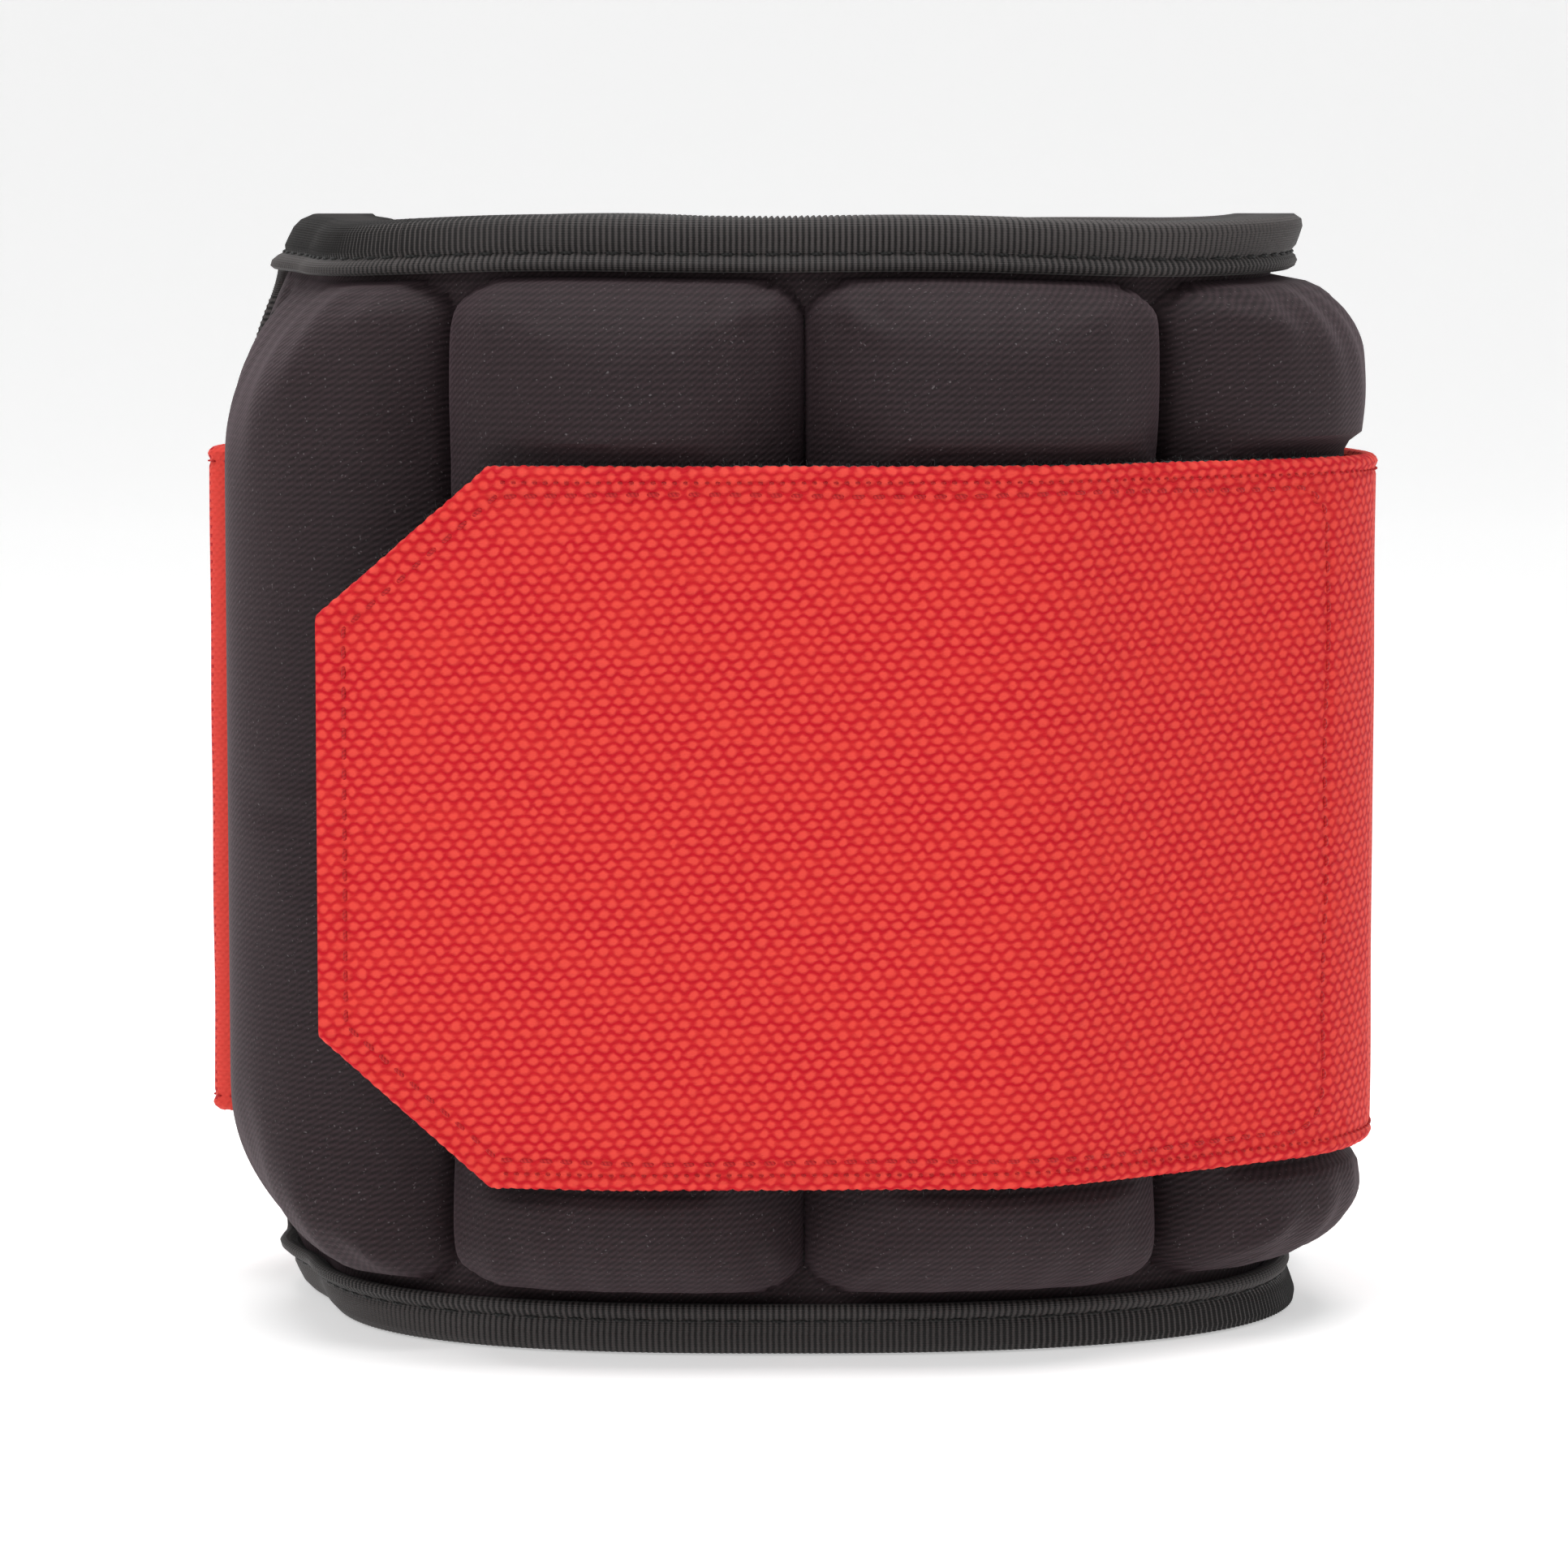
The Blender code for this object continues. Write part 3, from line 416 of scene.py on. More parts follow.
def lining_out(arc, height):
    """Depth of the lining's inner face, pressed in behind each channel."""
    across = np.mod((arc - FLAP_SEAM) / CHANNEL_PITCH, 1.0)
    inside = (arc > FLAP_SEAM) & (arc < BODY_END)
    along = np.clip((height - CROWN_START) / (CUFF_HEIGHT - 2 * CROWN_START), 0, 1)
    puff = np.where(inside, np.sin(math.pi * across) ** LINING_FULLNESS, 0)
    puff = puff * (1 - np.abs(2 * along - 1) ** 4)
    coarse, fine = LINING_DENTS
    soft = ripple(arc, height, 9, coarse) + 0.6 * ripple(arc, height, 10, fine)
    return -LINING - LINING_PUFF * puff - LINING_DENT * (1.6 + soft) * np.minimum(1, 4 * puff)


# ---- meshes ----------------------------------------------------------------------------------
def mesh_piece(name, verts, faces, uvs, material, sharp=50):
    mesh = bpy.data.meshes.new(name)
    mesh.from_pydata(np.asarray(verts).reshape(-1, 3).tolist(), [], faces)
    layer = mesh.uv_layers.new(name="weave")
    corners = np.empty(len(mesh.loops), np.int32)
    mesh.loops.foreach_get("vertex_index", corners)
    layer.data.foreach_set("uv", np.asarray(uvs, np.float32).reshape(-1, 2)[corners].ravel())
    mesh.materials.append(material)
    mesh.shade_smooth()
    mesh.set_sharp_from_angle(angle=math.radians(sharp))
    mesh.validate()
    piece = bpy.data.objects.new(name, mesh)
    bpy.context.scene.collection.objects.link(piece)
    return piece


def loft(name, rings, uvs, material, sharp):
    """Closed skin through rings of points (stations, points, 3), with a flat face at each end."""
    stations, count = rings.shape[:2]
    index = np.arange(stations * count).reshape(stations, count)
    here, there = index[:-1], index[1:]
    quads = np.stack([here, there, np.roll(there, -1, 1), np.roll(here, -1, 1)], -1).reshape(-1, 4)
    faces = quads.tolist() + [index[0].tolist(), index[-1][::-1].tolist()]
    return mesh_piece(name, rings, faces, uvs, material, sharp)


def slab(name, front, back, uvs, material, is_open):
    """Closed body between two grids (rows, columns, 3); open cells become holes through it."""
    rows, columns = front.shape[:2]
    cells = {(row, column) for row in range(rows - 1) for column in range(columns - 1)
             if not is_open(row, column)}
    behind = rows * columns
    faces = []
    for row, column in sorted(cells):
        ring = [(row, column), (row + 1, column), (row + 1, column + 1), (row, column + 1)]
        spots = [r * columns + c for r, c in ring]
        faces.append(spots)
        faces.append([spot + behind for spot in reversed(spots)])
        around = [(row, column - 1), (row + 1, column), (row, column + 1), (row - 1, column)]
        for side, neighbour in enumerate(around):
            if neighbour not in cells:
                first, second = spots[side], spots[(side + 1) % 4]
                faces.append([second, first, first + behind, second + behind])
    piece = mesh_piece(name, np.concatenate([front.reshape(-1, 3), back.reshape(-1, 3)]), faces,
                       np.concatenate([uvs.reshape(-1, 2)] * 2), material)
    drop_loose(piece)
    return piece


def drop_loose(piece):
    """Removes the grid points that no face uses."""
    used = {corner for face in piece.data.polygons for corner in face.vertices}
    if len(used) == len(piece.data.vertices):
        return
    builder = bmesh.new()
    builder.from_mesh(piece.data)
    bmesh.ops.delete(builder, geom=[v for v in builder.verts if not v.link_faces], context="VERTS")
    builder.to_mesh(piece.data)
    builder.free()


def carried(piece, carrier, nodes=()):
    """carrier is a body's name, or (body, body, start, end) for fabric between two bodies; such a
    tuple is not read, and the fabric stays where it lies.
    """
    if isinstance(carrier, str):
        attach(piece, carrier)
    else:
        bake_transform(piece)
    if nodes:
        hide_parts(*nodes)
    return piece


def fold(first_body, second_body, first_arc, last_arc):
    ends = [tuple(wall(arc, CUFF_HEIGHT / 2, 0.0)) for arc in (first_arc, last_arc)]
    return first_body, second_body, *ends


FRONT = fold("outer_flap", "root", FRONT_FOLD - FOLD_REACH, FRONT_FOLD + FOLD_REACH)
INNER = fold("root", "tongue", BODY_END - FOLD_REACH, BODY_END + FOLD_REACH)


# ---- materials -------------------------------------------------------------------------------
class Finish:
    """A Principled material whose nodes are made by short calls; u and v run along the weave."""

    def __init__(self, name, roughness, sheen=0.0, tint=(1, 1, 1), metallic=0.0):
        self.material = bpy.data.materials.new(name)
        self.material.use_nodes = True
        self.nodes = self.material.node_tree.nodes
        self.links = self.material.node_tree.links
        self.shader = self.nodes["Principled BSDF"]
        self.shader.inputs["Metallic"].default_value = metallic
        self.shader.inputs["Roughness"].default_value = roughness
        self.shader.inputs["Sheen Weight"].default_value = sheen
        self.shader.inputs["Sheen Roughness"].default_value = 0.45
        self.shader.inputs["Sheen Tint"].default_value = (*tint, 1)
        self.shader.inputs["Specular IOR Level"].default_value = 0.25
        place = self.nodes.new("ShaderNodeUVMap")
        place.uv_map = "weave"
        split = self.nodes.new("ShaderNodeSeparateXYZ")
        self.links.new(place.outputs["UV"], split.inputs[0])
        self.u, self.v = split.outputs["X"], split.outputs["Y"]
        coordinates = self.nodes.new("ShaderNodeTexCoord")
        self.solid = coordinates.outputs["Object"]

    def put(self, socket, value):
        if isinstance(value, bpy.types.NodeSocket):
            self.links.new(value, socket)
        else:
            socket.default_value = value

    def math(self, operation, first, second=0.0, third=0.0):
        node = self.nodes.new("ShaderNodeMath")
        node.operation = operation
        for socket, value in zip(node.inputs, (first, second, third)):
            self.put(socket, value)
        return node.outputs[0]

    def add(self, *values):
        total = values[0]
        for value in values[1:]:
            total = self.math("ADD", total, value)
        return total

    def times(self, first, second):
        return self.math("MULTIPLY", first, second)

    def wave(self, along, pitch, shift=0.0):
        """0 to 1 and back, once every pitch."""
        turn = self.math("MULTIPLY_ADD", along, 2 * math.pi / pitch, shift)
        return self.math("MULTIPLY_ADD", self.math("SINE", turn), 0.5, 0.5)

    def noise(self, size, detail=2.0, where=None, rough=0.5):
        node = self.nodes.new("ShaderNodeTexNoise")
        self.put(node.inputs["Vector"], self.solid if where is None else where)
        node.inputs["Scale"].default_value = 1 / size
        node.inputs["Detail"].default_value = detail
        node.inputs["Roughness"].default_value = rough
        return node.outputs[0]

    def cells(self, size):
        node = self.nodes.new("ShaderNodeTexVoronoi")
        self.put(node.inputs["Vector"], self.solid)
        node.inputs["Scale"].default_value = 1 / size
        return node.outputs["Distance"]

    def spot(self, u, v):
        node = self.nodes.new("ShaderNodeCombineXYZ")
        self.put(node.inputs[0], u)
        self.put(node.inputs[1], v)
        return node.outputs[0]

    def step(self, value, low, high):
        """0 below low, 1 above high, smooth between."""
        node = self.nodes.new("ShaderNodeMapRange")
        node.interpolation_type = "SMOOTHSTEP"
        for socket, given in zip(node.inputs, (value, low, high, 0.0, 1.0)):
            self.put(socket, given)
        return node.outputs[0]

    def blend(self, share, first, second):
        node = self.nodes.new("ShaderNodeMix")
        node.data_type = "RGBA"
        self.put(node.inputs["Factor"], share)
        for socket, colour in zip((node.inputs[6], node.inputs[7]), (first, second)):
            self.put(socket, colour if isinstance(colour, bpy.types.NodeSocket) else (*colour, 1.0))
        return node.outputs[2]

    def finish(self, colour, relief, depth, roughness=None):
        self.put(self.shader.inputs["Base Color"], colour)
        if roughness is not None:
            self.put(self.shader.inputs["Roughness"], roughness)
        bump = self.nodes.new("ShaderNodeBump")
        bump.inputs["Strength"].default_value = 1.0
        bump.inputs["Distance"].default_value = depth
        self.put(bump.inputs["Height"], relief)
        self.links.new(bump.outputs[0], self.shader.inputs["Normal"])
        return self.material


def neoprene_finish():
    """Charcoal jersey over foam: fine courses round the cuff, with a slight purple."""
    f = Finish("neoprene_jersey", 0.80, sheen=0.08, tint=(0.95, 0.66, 0.76))
    drift = f.times(f.noise(0.006, 2), 0.0004)
    course = f.wave(f.add(f.v, drift), 0.00078)
    twill = f.wave(f.add(f.times(f.u, 0.75), f.times(f.v, -0.9), drift), 0.00058)
    yarn = f.noise(0.00032, 2)
    knit = f.add(f.times(course, 0.24), f.times(twill, 0.34), f.times(yarn, 0.52))
    patch = f.noise(0.020, 3)
    base = f.blend(f.step(knit, 0.25, 0.95), (0.0082, 0.0048, 0.0056), (0.0415, 0.0250, 0.0290))
    worn = f.blend(f.times(patch, 0.5), base, (0.025, 0.0148, 0.0172))
    fleck = f.step(f.noise(0.00040, 1, rough=0.9), 0.68, 0.78)
    return f.finish(f.blend(f.times(fleck, 0.30), worn, (0.28, 0.25, 0.26)), knit, 0.00009,
                    f.math("MULTIPLY_ADD", yarn, 0.16, 0.68))


def lining_finish():
    """Crimson jersey with a soft sheen."""
    f = Finish("lining_jersey", 0.62, sheen=0.20, tint=(1.0, 0.22, 0.34))
    course = f.wave(f.v, 0.00055)
    wale = f.wave(f.u, 0.00050)
    yarn = f.noise(0.00030, 2)
    knit = f.add(f.times(f.times(course, wale), 0.8), f.times(yarn, 0.3))
    base = f.blend(f.step(knit, 0.1, 0.9), (0.30, 0.0010, 0.016), (0.52, 0.0050, 0.040))
    tone = f.blend(f.step(f.noise(0.015, 3), 0.40, 0.65), base, (0.46, 0.003, 0.032))
    return f.finish(tone, knit, 0.00010, f.math("MULTIPLY_ADD", yarn, 0.2, 0.50))


def tape_finish():
    """Black ribbed tape: the ribs are modelled, the filling yarn between them is not. Its colour is
    painted shade, darker on one flank of each modelled rib, over the yarn's own weave.
    """
    f = Finish("binding_tape", 0.60, sheen=0.08, tint=(0.85, 0.84, 0.82))
    yarn = f.wave(f.v, 0.00030)
    fibre = f.noise(0.00025, 3)
    weave = f.add(f.times(yarn, 0.5), f.times(fibre, 0.5))
    rib = f.wave(f.u, RIB_PITCH, math.pi / 2)
    # painted shade: the tape is darker on one flank of each modelled rib; the yarn's weave adds its
    # own pattern
    base = f.blend(f.step(f.add(f.times(rib, 0.7), f.times(weave, 0.3)), 0.15, 0.85),
                   (0.0062, 0.0054, 0.0053), (0.0640, 0.0555, 0.0545))
    worn = f.step(f.noise(0.004, 4), 0.55, 0.75)
    return f.finish(f.blend(f.times(worn, 0.20), base, (0.050, 0.046, 0.045)), weave, 0.00007,
                    f.math("MULTIPLY_ADD", fibre, 0.3, 0.42))


def red(f, loops, low, high):
    """Red yarn: coral on the loops' tops, with faint streaks; the darker saturated red between the
    loops is partly the yarn's own colour, partly painted shade.
    """
    # painted shade: the gap colour darkens the red between the loops and in the band's slits,
    # partly the yarn's own deeper red
    base = f.blend(f.step(loops, low, high), (0.53, 0.0, 0.0100), (0.77, 0.060, 0.044))
    streak = f.noise(0.010, 3, f.spot(f.u, f.times(f.v, 4.0)))
    return f.blend(f.times(f.step(streak, 0.35, 0.75), 0.22), base, (0.76, 0.046, 0.026))


def tab_finish():
    """Tab: rows of interlocking lens-shaped loops with saturated red between them, partly painted
    shade.
    """
    f = Finish("tab_purl", 0.82, sheen=0.03, tint=(1.0, 0.45, 0.35))
    row_pitch, loop_pitch, swell = 0.00100, 0.00164, 0.52
    drift = f.times(f.math("SUBTRACT", f.noise(0.0020, 2), 0.5), 0.0011)
    sway = f.times(f.math("SUBTRACT", f.noise(0.0027, 2), 0.5), 0.0008)
    level = f.add(f.v, sway, f.times(f.u, 0.06))
    rows = f.math("COSINE", f.times(level, math.pi / row_pitch))
    columns = f.math("COSINE", f.times(f.add(f.u, drift), 2 * math.pi / loop_pitch))
    hump = f.math("ABSOLUTE", f.math("SUBTRACT", rows, f.times(columns, swell)))
    fibre = f.noise(0.00042, 3, f.spot(f.times(f.u, 0.5), f.add(f.v, f.times(f.u, 0.2))), 0.7)
    loop = f.add(f.times(hump, 0.56), f.times(fibre, 0.62))
    return f.finish(red(f, loop, 0.40, 1.06), loop, 0.00018,
                    f.math("MULTIPLY_ADD", fibre, 0.2, 0.66))


def band_finish():
    """Elastic webbing: rows of small slits across the band, between fine lengthwise yarns; the
    slits take the darker gap red, partly painted shade.
    """
    f = Finish("band_elastic", 0.74, sheen=0.08, tint=(1.0, 0.45, 0.35))
    drift = f.times(f.math("SUBTRACT", f.noise(0.004, 2), 0.5), 0.0006)
    row = f.wave(f.add(f.u, drift), 0.0022)
    slit = f.times(f.step(row, 0.72, 0.96), f.step(f.wave(f.v, 0.00098), 0.62, 0.90))
    slit = f.step(slit, 0.2, 0.9)
    yarn = f.wave(f.v, 0.00049)
    twill = f.wave(f.add(f.u, f.times(f.v, 0.6)), 0.00055)
    fibre = f.noise(0.00028, 3)
    yarns = f.add(0.35, f.times(yarn, 0.20), f.times(twill, 0.18), f.times(fibre, 0.28),
                  f.times(row, -0.10))
    # the slits are drawn in the darker gap red: partly painted shade in the slits
    knit = f.math("SUBTRACT", yarns, f.times(slit, 0.75))
    return f.finish(red(f, knit, 0.10, 0.66), knit, 0.00030,
                    f.math("MULTIPLY_ADD", fibre, 0.2, 0.62))


def hook_finish():
    """Near-black hook and loop pile."""
    f = Finish("hook_pile", 0.9, sheen=0.15)
    pile = f.add(f.times(f.cells(0.0009), 0.7), f.times(f.noise(0.0004, 3), 0.5))
    return f.finish(f.blend(f.step(pile, 0.3, 0.9), (0.004, 0.004, 0.004), (0.030, 0.030, 0.031)),
                    pile, 0.0005)


def thread_finish(name, dark, light):
    f = Finish(name, 0.6, sheen=0.1)
    twist = f.wave(f.add(f.u, f.times(f.v, 0.5)), 0.0005)
    ply = f.add(f.times(twist, 0.7), f.times(f.noise(0.0003, 2), 0.3))
    return f.finish(f.blend(ply, dark, light), ply, 0.00006)


def pouch_finish():
    """Grey woven bag fabric."""
    f = Finish("pouch_weave", 0.7, sheen=0.1)
    split = f.nodes.new("ShaderNodeSeparateXYZ")
    f.links.new(f.solid, split.inputs[0])
    weave = f.times(f.wave(split.outputs["X"], 0.0008), f.wave(split.outputs["Z"], 0.0008))
    knit = f.add(f.times(weave, 0.8), f.times(f.noise(0.0005, 2), 0.2))
    return f.finish(f.blend(knit, (0.16, 0.16, 0.165), (0.36, 0.36, 0.37)), knit, 0.0001)


def iron_finish():
    """Bed of dark iron granules with rusty grains among them."""
    f = Finish("iron_granules", 0.5, metallic=1.0)
    grain = f.cells(0.0011)
    tone = f.blend(f.step(grain, 0.1, 0.8), (0.26, 0.25, 0.24), (0.05, 0.045, 0.04))
    rust = f.step(f.noise(0.0025, 2), 0.60, 0.68)
    return f.finish(f.blend(f.times(rust, 0.6), tone, (0.20, 0.085, 0.04)),
                    f.math("SUBTRACT", 1.0, grain), 0.0006, f.math("MULTIPLY_ADD", rust, 0.3, 0.42))


NEOPRENE = neoprene_finish()
CRIMSON = lining_finish()
TAPE_BLACK = tape_finish()
TAB_RED = tab_finish()
BAND_RED = band_finish()
HOOK_BLACK = hook_finish()
THREAD_BLACK = thread_finish("thread_black", (0.002, 0.002, 0.002), (0.018, 0.018, 0.017))
THREAD_RED = thread_finish("thread_dark_red", (0.34, 0.003, 0.007), (0.58, 0.014, 0.016))


# ---- filled channels: cloth pressed out by the filling ---------------------------------------
SIM_COLUMNS, SIM_ROWS = 20, 62
SIM_SCALE = 20.0             # the cloth solver works on a larger copy
SIM_FRAMES = 20
COVER_MOVE = 0.0016          # no point of a cover moves further than this


def sim_grid(number):
    first = FLAP_SEAM + number * CHANNEL_PITCH
    arcs = spread(first, first + CHANNEL_PITCH, SIM_COLUMNS)[:, None]
    heights = spread(CROWN_START, CUFF_HEIGHT - CROWN_START, SIM_ROWS)[None, :]
    return arcs, heights


def press_out_covers():
    """How far the filling moves each cover outwards, on the grid of its channel."""
    grids = [sim_grid(number) for number in range(CHANNELS)]
    rest = np.stack([wall(arcs, heights, outer_out(arcs, heights)) for arcs, heights in grids])
    columns, rows = SIM_COLUMNS + 1, SIM_ROWS + 1
    index = np.arange(rest[..., 0].size).reshape(CHANNELS, columns, rows)
    quads = np.stack([index[:, :-1, :-1], index[:, 1:, :-1],
                      index[:, 1:, 1:], index[:, :-1, 1:]], -1)
    mesh = bpy.data.meshes.new("pressed")
    mesh.from_pydata((rest * SIM_SCALE).reshape(-1, 3).tolist(), [], quads.reshape(-1, 4).tolist())
    sheet = bpy.data.objects.new("pressed", mesh)
    bpy.context.scene.collection.objects.link(sheet)
    pins = sheet.vertex_groups.new(name="sewn")
    sewn = np.concatenate([index[:, [0, -1], :].ravel(), index[:, :, [0, -1]].ravel()])
    pins.add(sorted(set(sewn.tolist())), 1.0, "REPLACE")
    press = sheet.modifiers.new("press", "CLOTH")
    settings = press.settings
    settings.quality = 6
    settings.mass = 0.3
    settings.tension_stiffness = settings.compression_stiffness = 12
    settings.shear_stiffness = 5
    settings.bending_stiffness = 0.6
    settings.vertex_group_mass = "sewn"
    settings.use_pressure = True
    settings.uniform_pressure_force = 2.5
    settings.shrink_min = -0.035
    settings.effector_weights.gravity = 0
    press.collision_settings.use_collision = False
    press.point_cache.frame_start = 1
    press.point_cache.frame_end = SIM_FRAMES
    scene = bpy.context.scene
    for step in range(1, SIM_FRAMES + 1):
        scene.frame_set(step)
    pressed = sheet.evaluated_get(bpy.context.evaluated_depsgraph_get())
    spots = np.empty(len(mesh.vertices) * 3)
    pressed.data.vertices.foreach_get("co", spots)
    scene.frame_set(1)
    bpy.data.objects.remove(sheet, do_unlink=True)
    moved = spots.reshape(rest.shape) / SIM_SCALE - rest
    normals = np.stack([np.broadcast_to(line_frame(arcs)[1], (columns, rows, 2))
                        for arcs, _ in grids])
    outwards = (moved[..., :2] * normals).sum(-1)
    return COVER_MOVE * np.tanh(outwards / COVER_MOVE)


PRESSED = press_out_covers()


def pressed_out(arc, height):
    """The simulated movement at any point of the outer fabric."""
    arc, height = np.broadcast_arrays(arc, height)
    place = (arc - FLAP_SEAM) / CHANNEL_PITCH
    number = np.clip(np.floor(place), 0, CHANNELS - 1).astype(int)
    column = np.clip(place - number, 0, 1) * SIM_COLUMNS
    row = np.clip((height - CROWN_START) / (CUFF_HEIGHT - 2 * CROWN_START), 0, 1) * SIM_ROWS
    left = np.minimum(column.astype(int), SIM_COLUMNS - 1)
    low = np.minimum(row.astype(int), SIM_ROWS - 1)
    x, y = column - left, row - low
    inside = (place >= 0) & (place <= CHANNELS)
    value = sum(across * up * PRESSED[number, left + right, low + high]
                for high, up in ((0, 1 - y), (1, y)) for right, across in ((0, 1 - x), (1, x)))
    return np.where(inside, value, 0.0)


def cover_out(arc, height):
    return outer_out(arc, height, pressed_out(arc, height))


# ---- fabric panels ---------------------------------------------------------------------------
def wall_slab(name, arcs, heights, front_out, back_out, material,
              is_open=lambda row, column: False):
    """Panel of the wall; heights is one row for all arcs or a row for each."""
    arcs = np.asarray(arcs)[:, None]
    heights = np.broadcast_to(heights, (arcs.shape[0], np.shape(heights)[-1]))
    full = np.broadcast_to(arcs, heights.shape)
    uvs = np.stack([full, heights], -1)
    return slab(name, wall(arcs, heights, front_out(full, heights)),
                wall(arcs, heights, back_out(full, heights)), uvs, material, is_open)


PANEL_HEIGHT = CUFF_HEIGHT - 2 * EDGE_SEAT


def level_at(out):
    """A flat face at one depth."""
    return lambda arc, height: np.full(arc.shape, out)


def waved(out, seed, pitch):
    """A face at one depth, slightly uneven."""
    return lambda arc, height: out + FABRIC_WAVE * ripple(arc, height, seed, pitch)


def full_heights(count, ease=0.35):
    return np.concatenate([[EDGE_SEAT], spread(CROWN_START, CUFF_HEIGHT - CROWN_START, count, ease),
                           [CUFF_HEIGHT - EDGE_SEAT]])


def between(stations, first, last):
    """The stations from first to last, with both ends."""
    inside = stations[(stations > first + CLOSE) & (stations < last - CLOSE)]
    return np.concatenate([[first], inside, [last]])


def rounded(heights, arcs, end, corner):
    """Heights drawn together towards a panel's rounded end."""
    past = np.maximum(0.0, corner - np.abs(end - arcs))[:, None]
    cut = corner - np.sqrt(np.maximum(0.0, corner ** 2 - past ** 2))
    return CUFF_HEIGHT / 2 + (heights - CUFF_HEIGHT / 2) * (PANEL_HEIGHT - 2 * cut) / PANEL_HEIGHT


def corner_arcs(end, corner, count, inward):
    return [end + inward * corner * (1 - math.sin(math.pi / 2 * step / count))
            for step in range(1, count + 1)]


COVER_COLUMNS, COVER_ROWS = 44, 104
COVER_SKIN = 0.0008          # thickness of a cover where its back follows its face


def cover_back(arc, height):
    smooth_out = FABRIC + CROWN * crown(arc, height)
    held = np.minimum(smooth_out, cover_out(arc, height))
    return np.maximum(CLEARANCE, held - COVER_SKIN - (FABRIC - COVER_SKIN) * (arc < BODY_END))


def make_covers():
    heights = full_heights(COVER_ROWS)
    stations = np.unique(np.concatenate([
        spread(FLAP_SEAM + number * CHANNEL_PITCH, FLAP_SEAM + (number + 1) * CHANNEL_PITCH,
               COVER_COLUMNS, 0.45) for number in range(CHANNELS)]))
    for number in range(CHANNELS):
        name = f"outer_cover_{number + 1}"
        first = FLAP_SEAM + number * CHANNEL_PITCH
        last = first + CHANNEL_PITCH
        if number == 1:
            first += FOLD_REACH
        if number in (0, CHANNELS - 1):
            last -= FOLD_REACH
        piece = wall_slab(name + "_puffed", between(stations, first, last), heights, cover_out,
                          cover_back, NEOPRENE)
        carried(piece, "root" if number else "outer_flap", [name])
    front = between(stations, FRONT_FOLD - FOLD_REACH, FRONT_FOLD + FOLD_REACH)
    piece = wall_slab("front_fold_fabric", front, heights, cover_out, cover_back, NEOPRENE)
    carried(piece, FRONT)
    inner = np.concatenate([between(stations, BODY_END - FOLD_REACH, BODY_END),
                            spread(BODY_END, BODY_END + FOLD_REACH, 8)[1:]])
    piece = wall_slab("tongue_fold_fabric", inner, heights, cover_out, cover_back, NEOPRENE)
    carried(piece, INNER)


SLOT_REACH = STRAP_WIDTH / 2 + 2 * CLEARANCE + SLOT_FACING
SLOT_ROWS = 40               # rows of the flap's panels beside the slot
ROWS_BELOW, ROWS_ABOVE = 6, 9
CORNER_ROWS = 12


def slot_heights():
    low, high = STRAP_MIDDLE - SLOT_REACH, STRAP_MIDDLE + SLOT_REACH
    return np.concatenate([[EDGE_SEAT], spread(CROWN_START, low, ROWS_BELOW)[:-1],
                           spread(low, high, SLOT_ROWS)[:-1],
                           spread(high, CUFF_HEIGHT - CROWN_START, ROWS_ABOVE),
                           [CUFF_HEIGHT - EDGE_SEAT]])


def slot_opening(arcs):
    """The panel's cells that the strap passes through."""
    row = int(np.argmin(np.abs(arcs - (SLOT_FAR - SLOT_FACING))))
    first = 1 + ROWS_BELOW
    return lambda cell_row, column: cell_row == row and first <= column < first + SLOT_ROWS


def flap_stations():
    corner = FLAP_CORNER - EDGE_SEAT
    outer = corner_arcs(FLAP_PANEL_END, corner, CORNER_ROWS, 1)[::-1]
    straight = [SLOT_FAR - SLOT_FACING, SLOT_NEAR + SLOT_FACING]
    margin = spread(outer[-1], straight[0], 4)[1:-1]
    return np.concatenate([outer, margin, straight, spread(straight[1], FLAP_SEAM, 6)[1:]])


def make_flap():
    corner = FLAP_CORNER - EDGE_SEAT
    arcs = flap_stations()
    heights = rounded(slot_heights(), arcs, FLAP_PANEL_END, corner)
    panel = wall_slab("flap_end_panel_fabric", arcs, heights,
                      waved(FABRIC, 2, 0.012), level_at(CLEARANCE), NEOPRENE, slot_opening(arcs))
    carried(panel, "outer_flap", ["flap_end_panel"])

    channel = spread(FLAP_SEAM, FRONT_FOLD - FOLD_REACH, 22)[1:]
    arcs = np.concatenate([arcs, channel])
    heights = rounded(slot_heights(), arcs, FLAP_PANEL_END, corner)
    lining = wall_slab("flap_lining_fabric", arcs, heights, level_at(0.0), lining_out, CRIMSON,
                       slot_opening(arcs))
    carried(lining, "outer_flap", ["flap_lining"])
    make_facing()
    make_patch()


FACING_STEPS = (0.0, 0.35, 0.7, 1.0)
FACING_RISE_OUT, FACING_RISE_IN = 0.0006, 0.0005


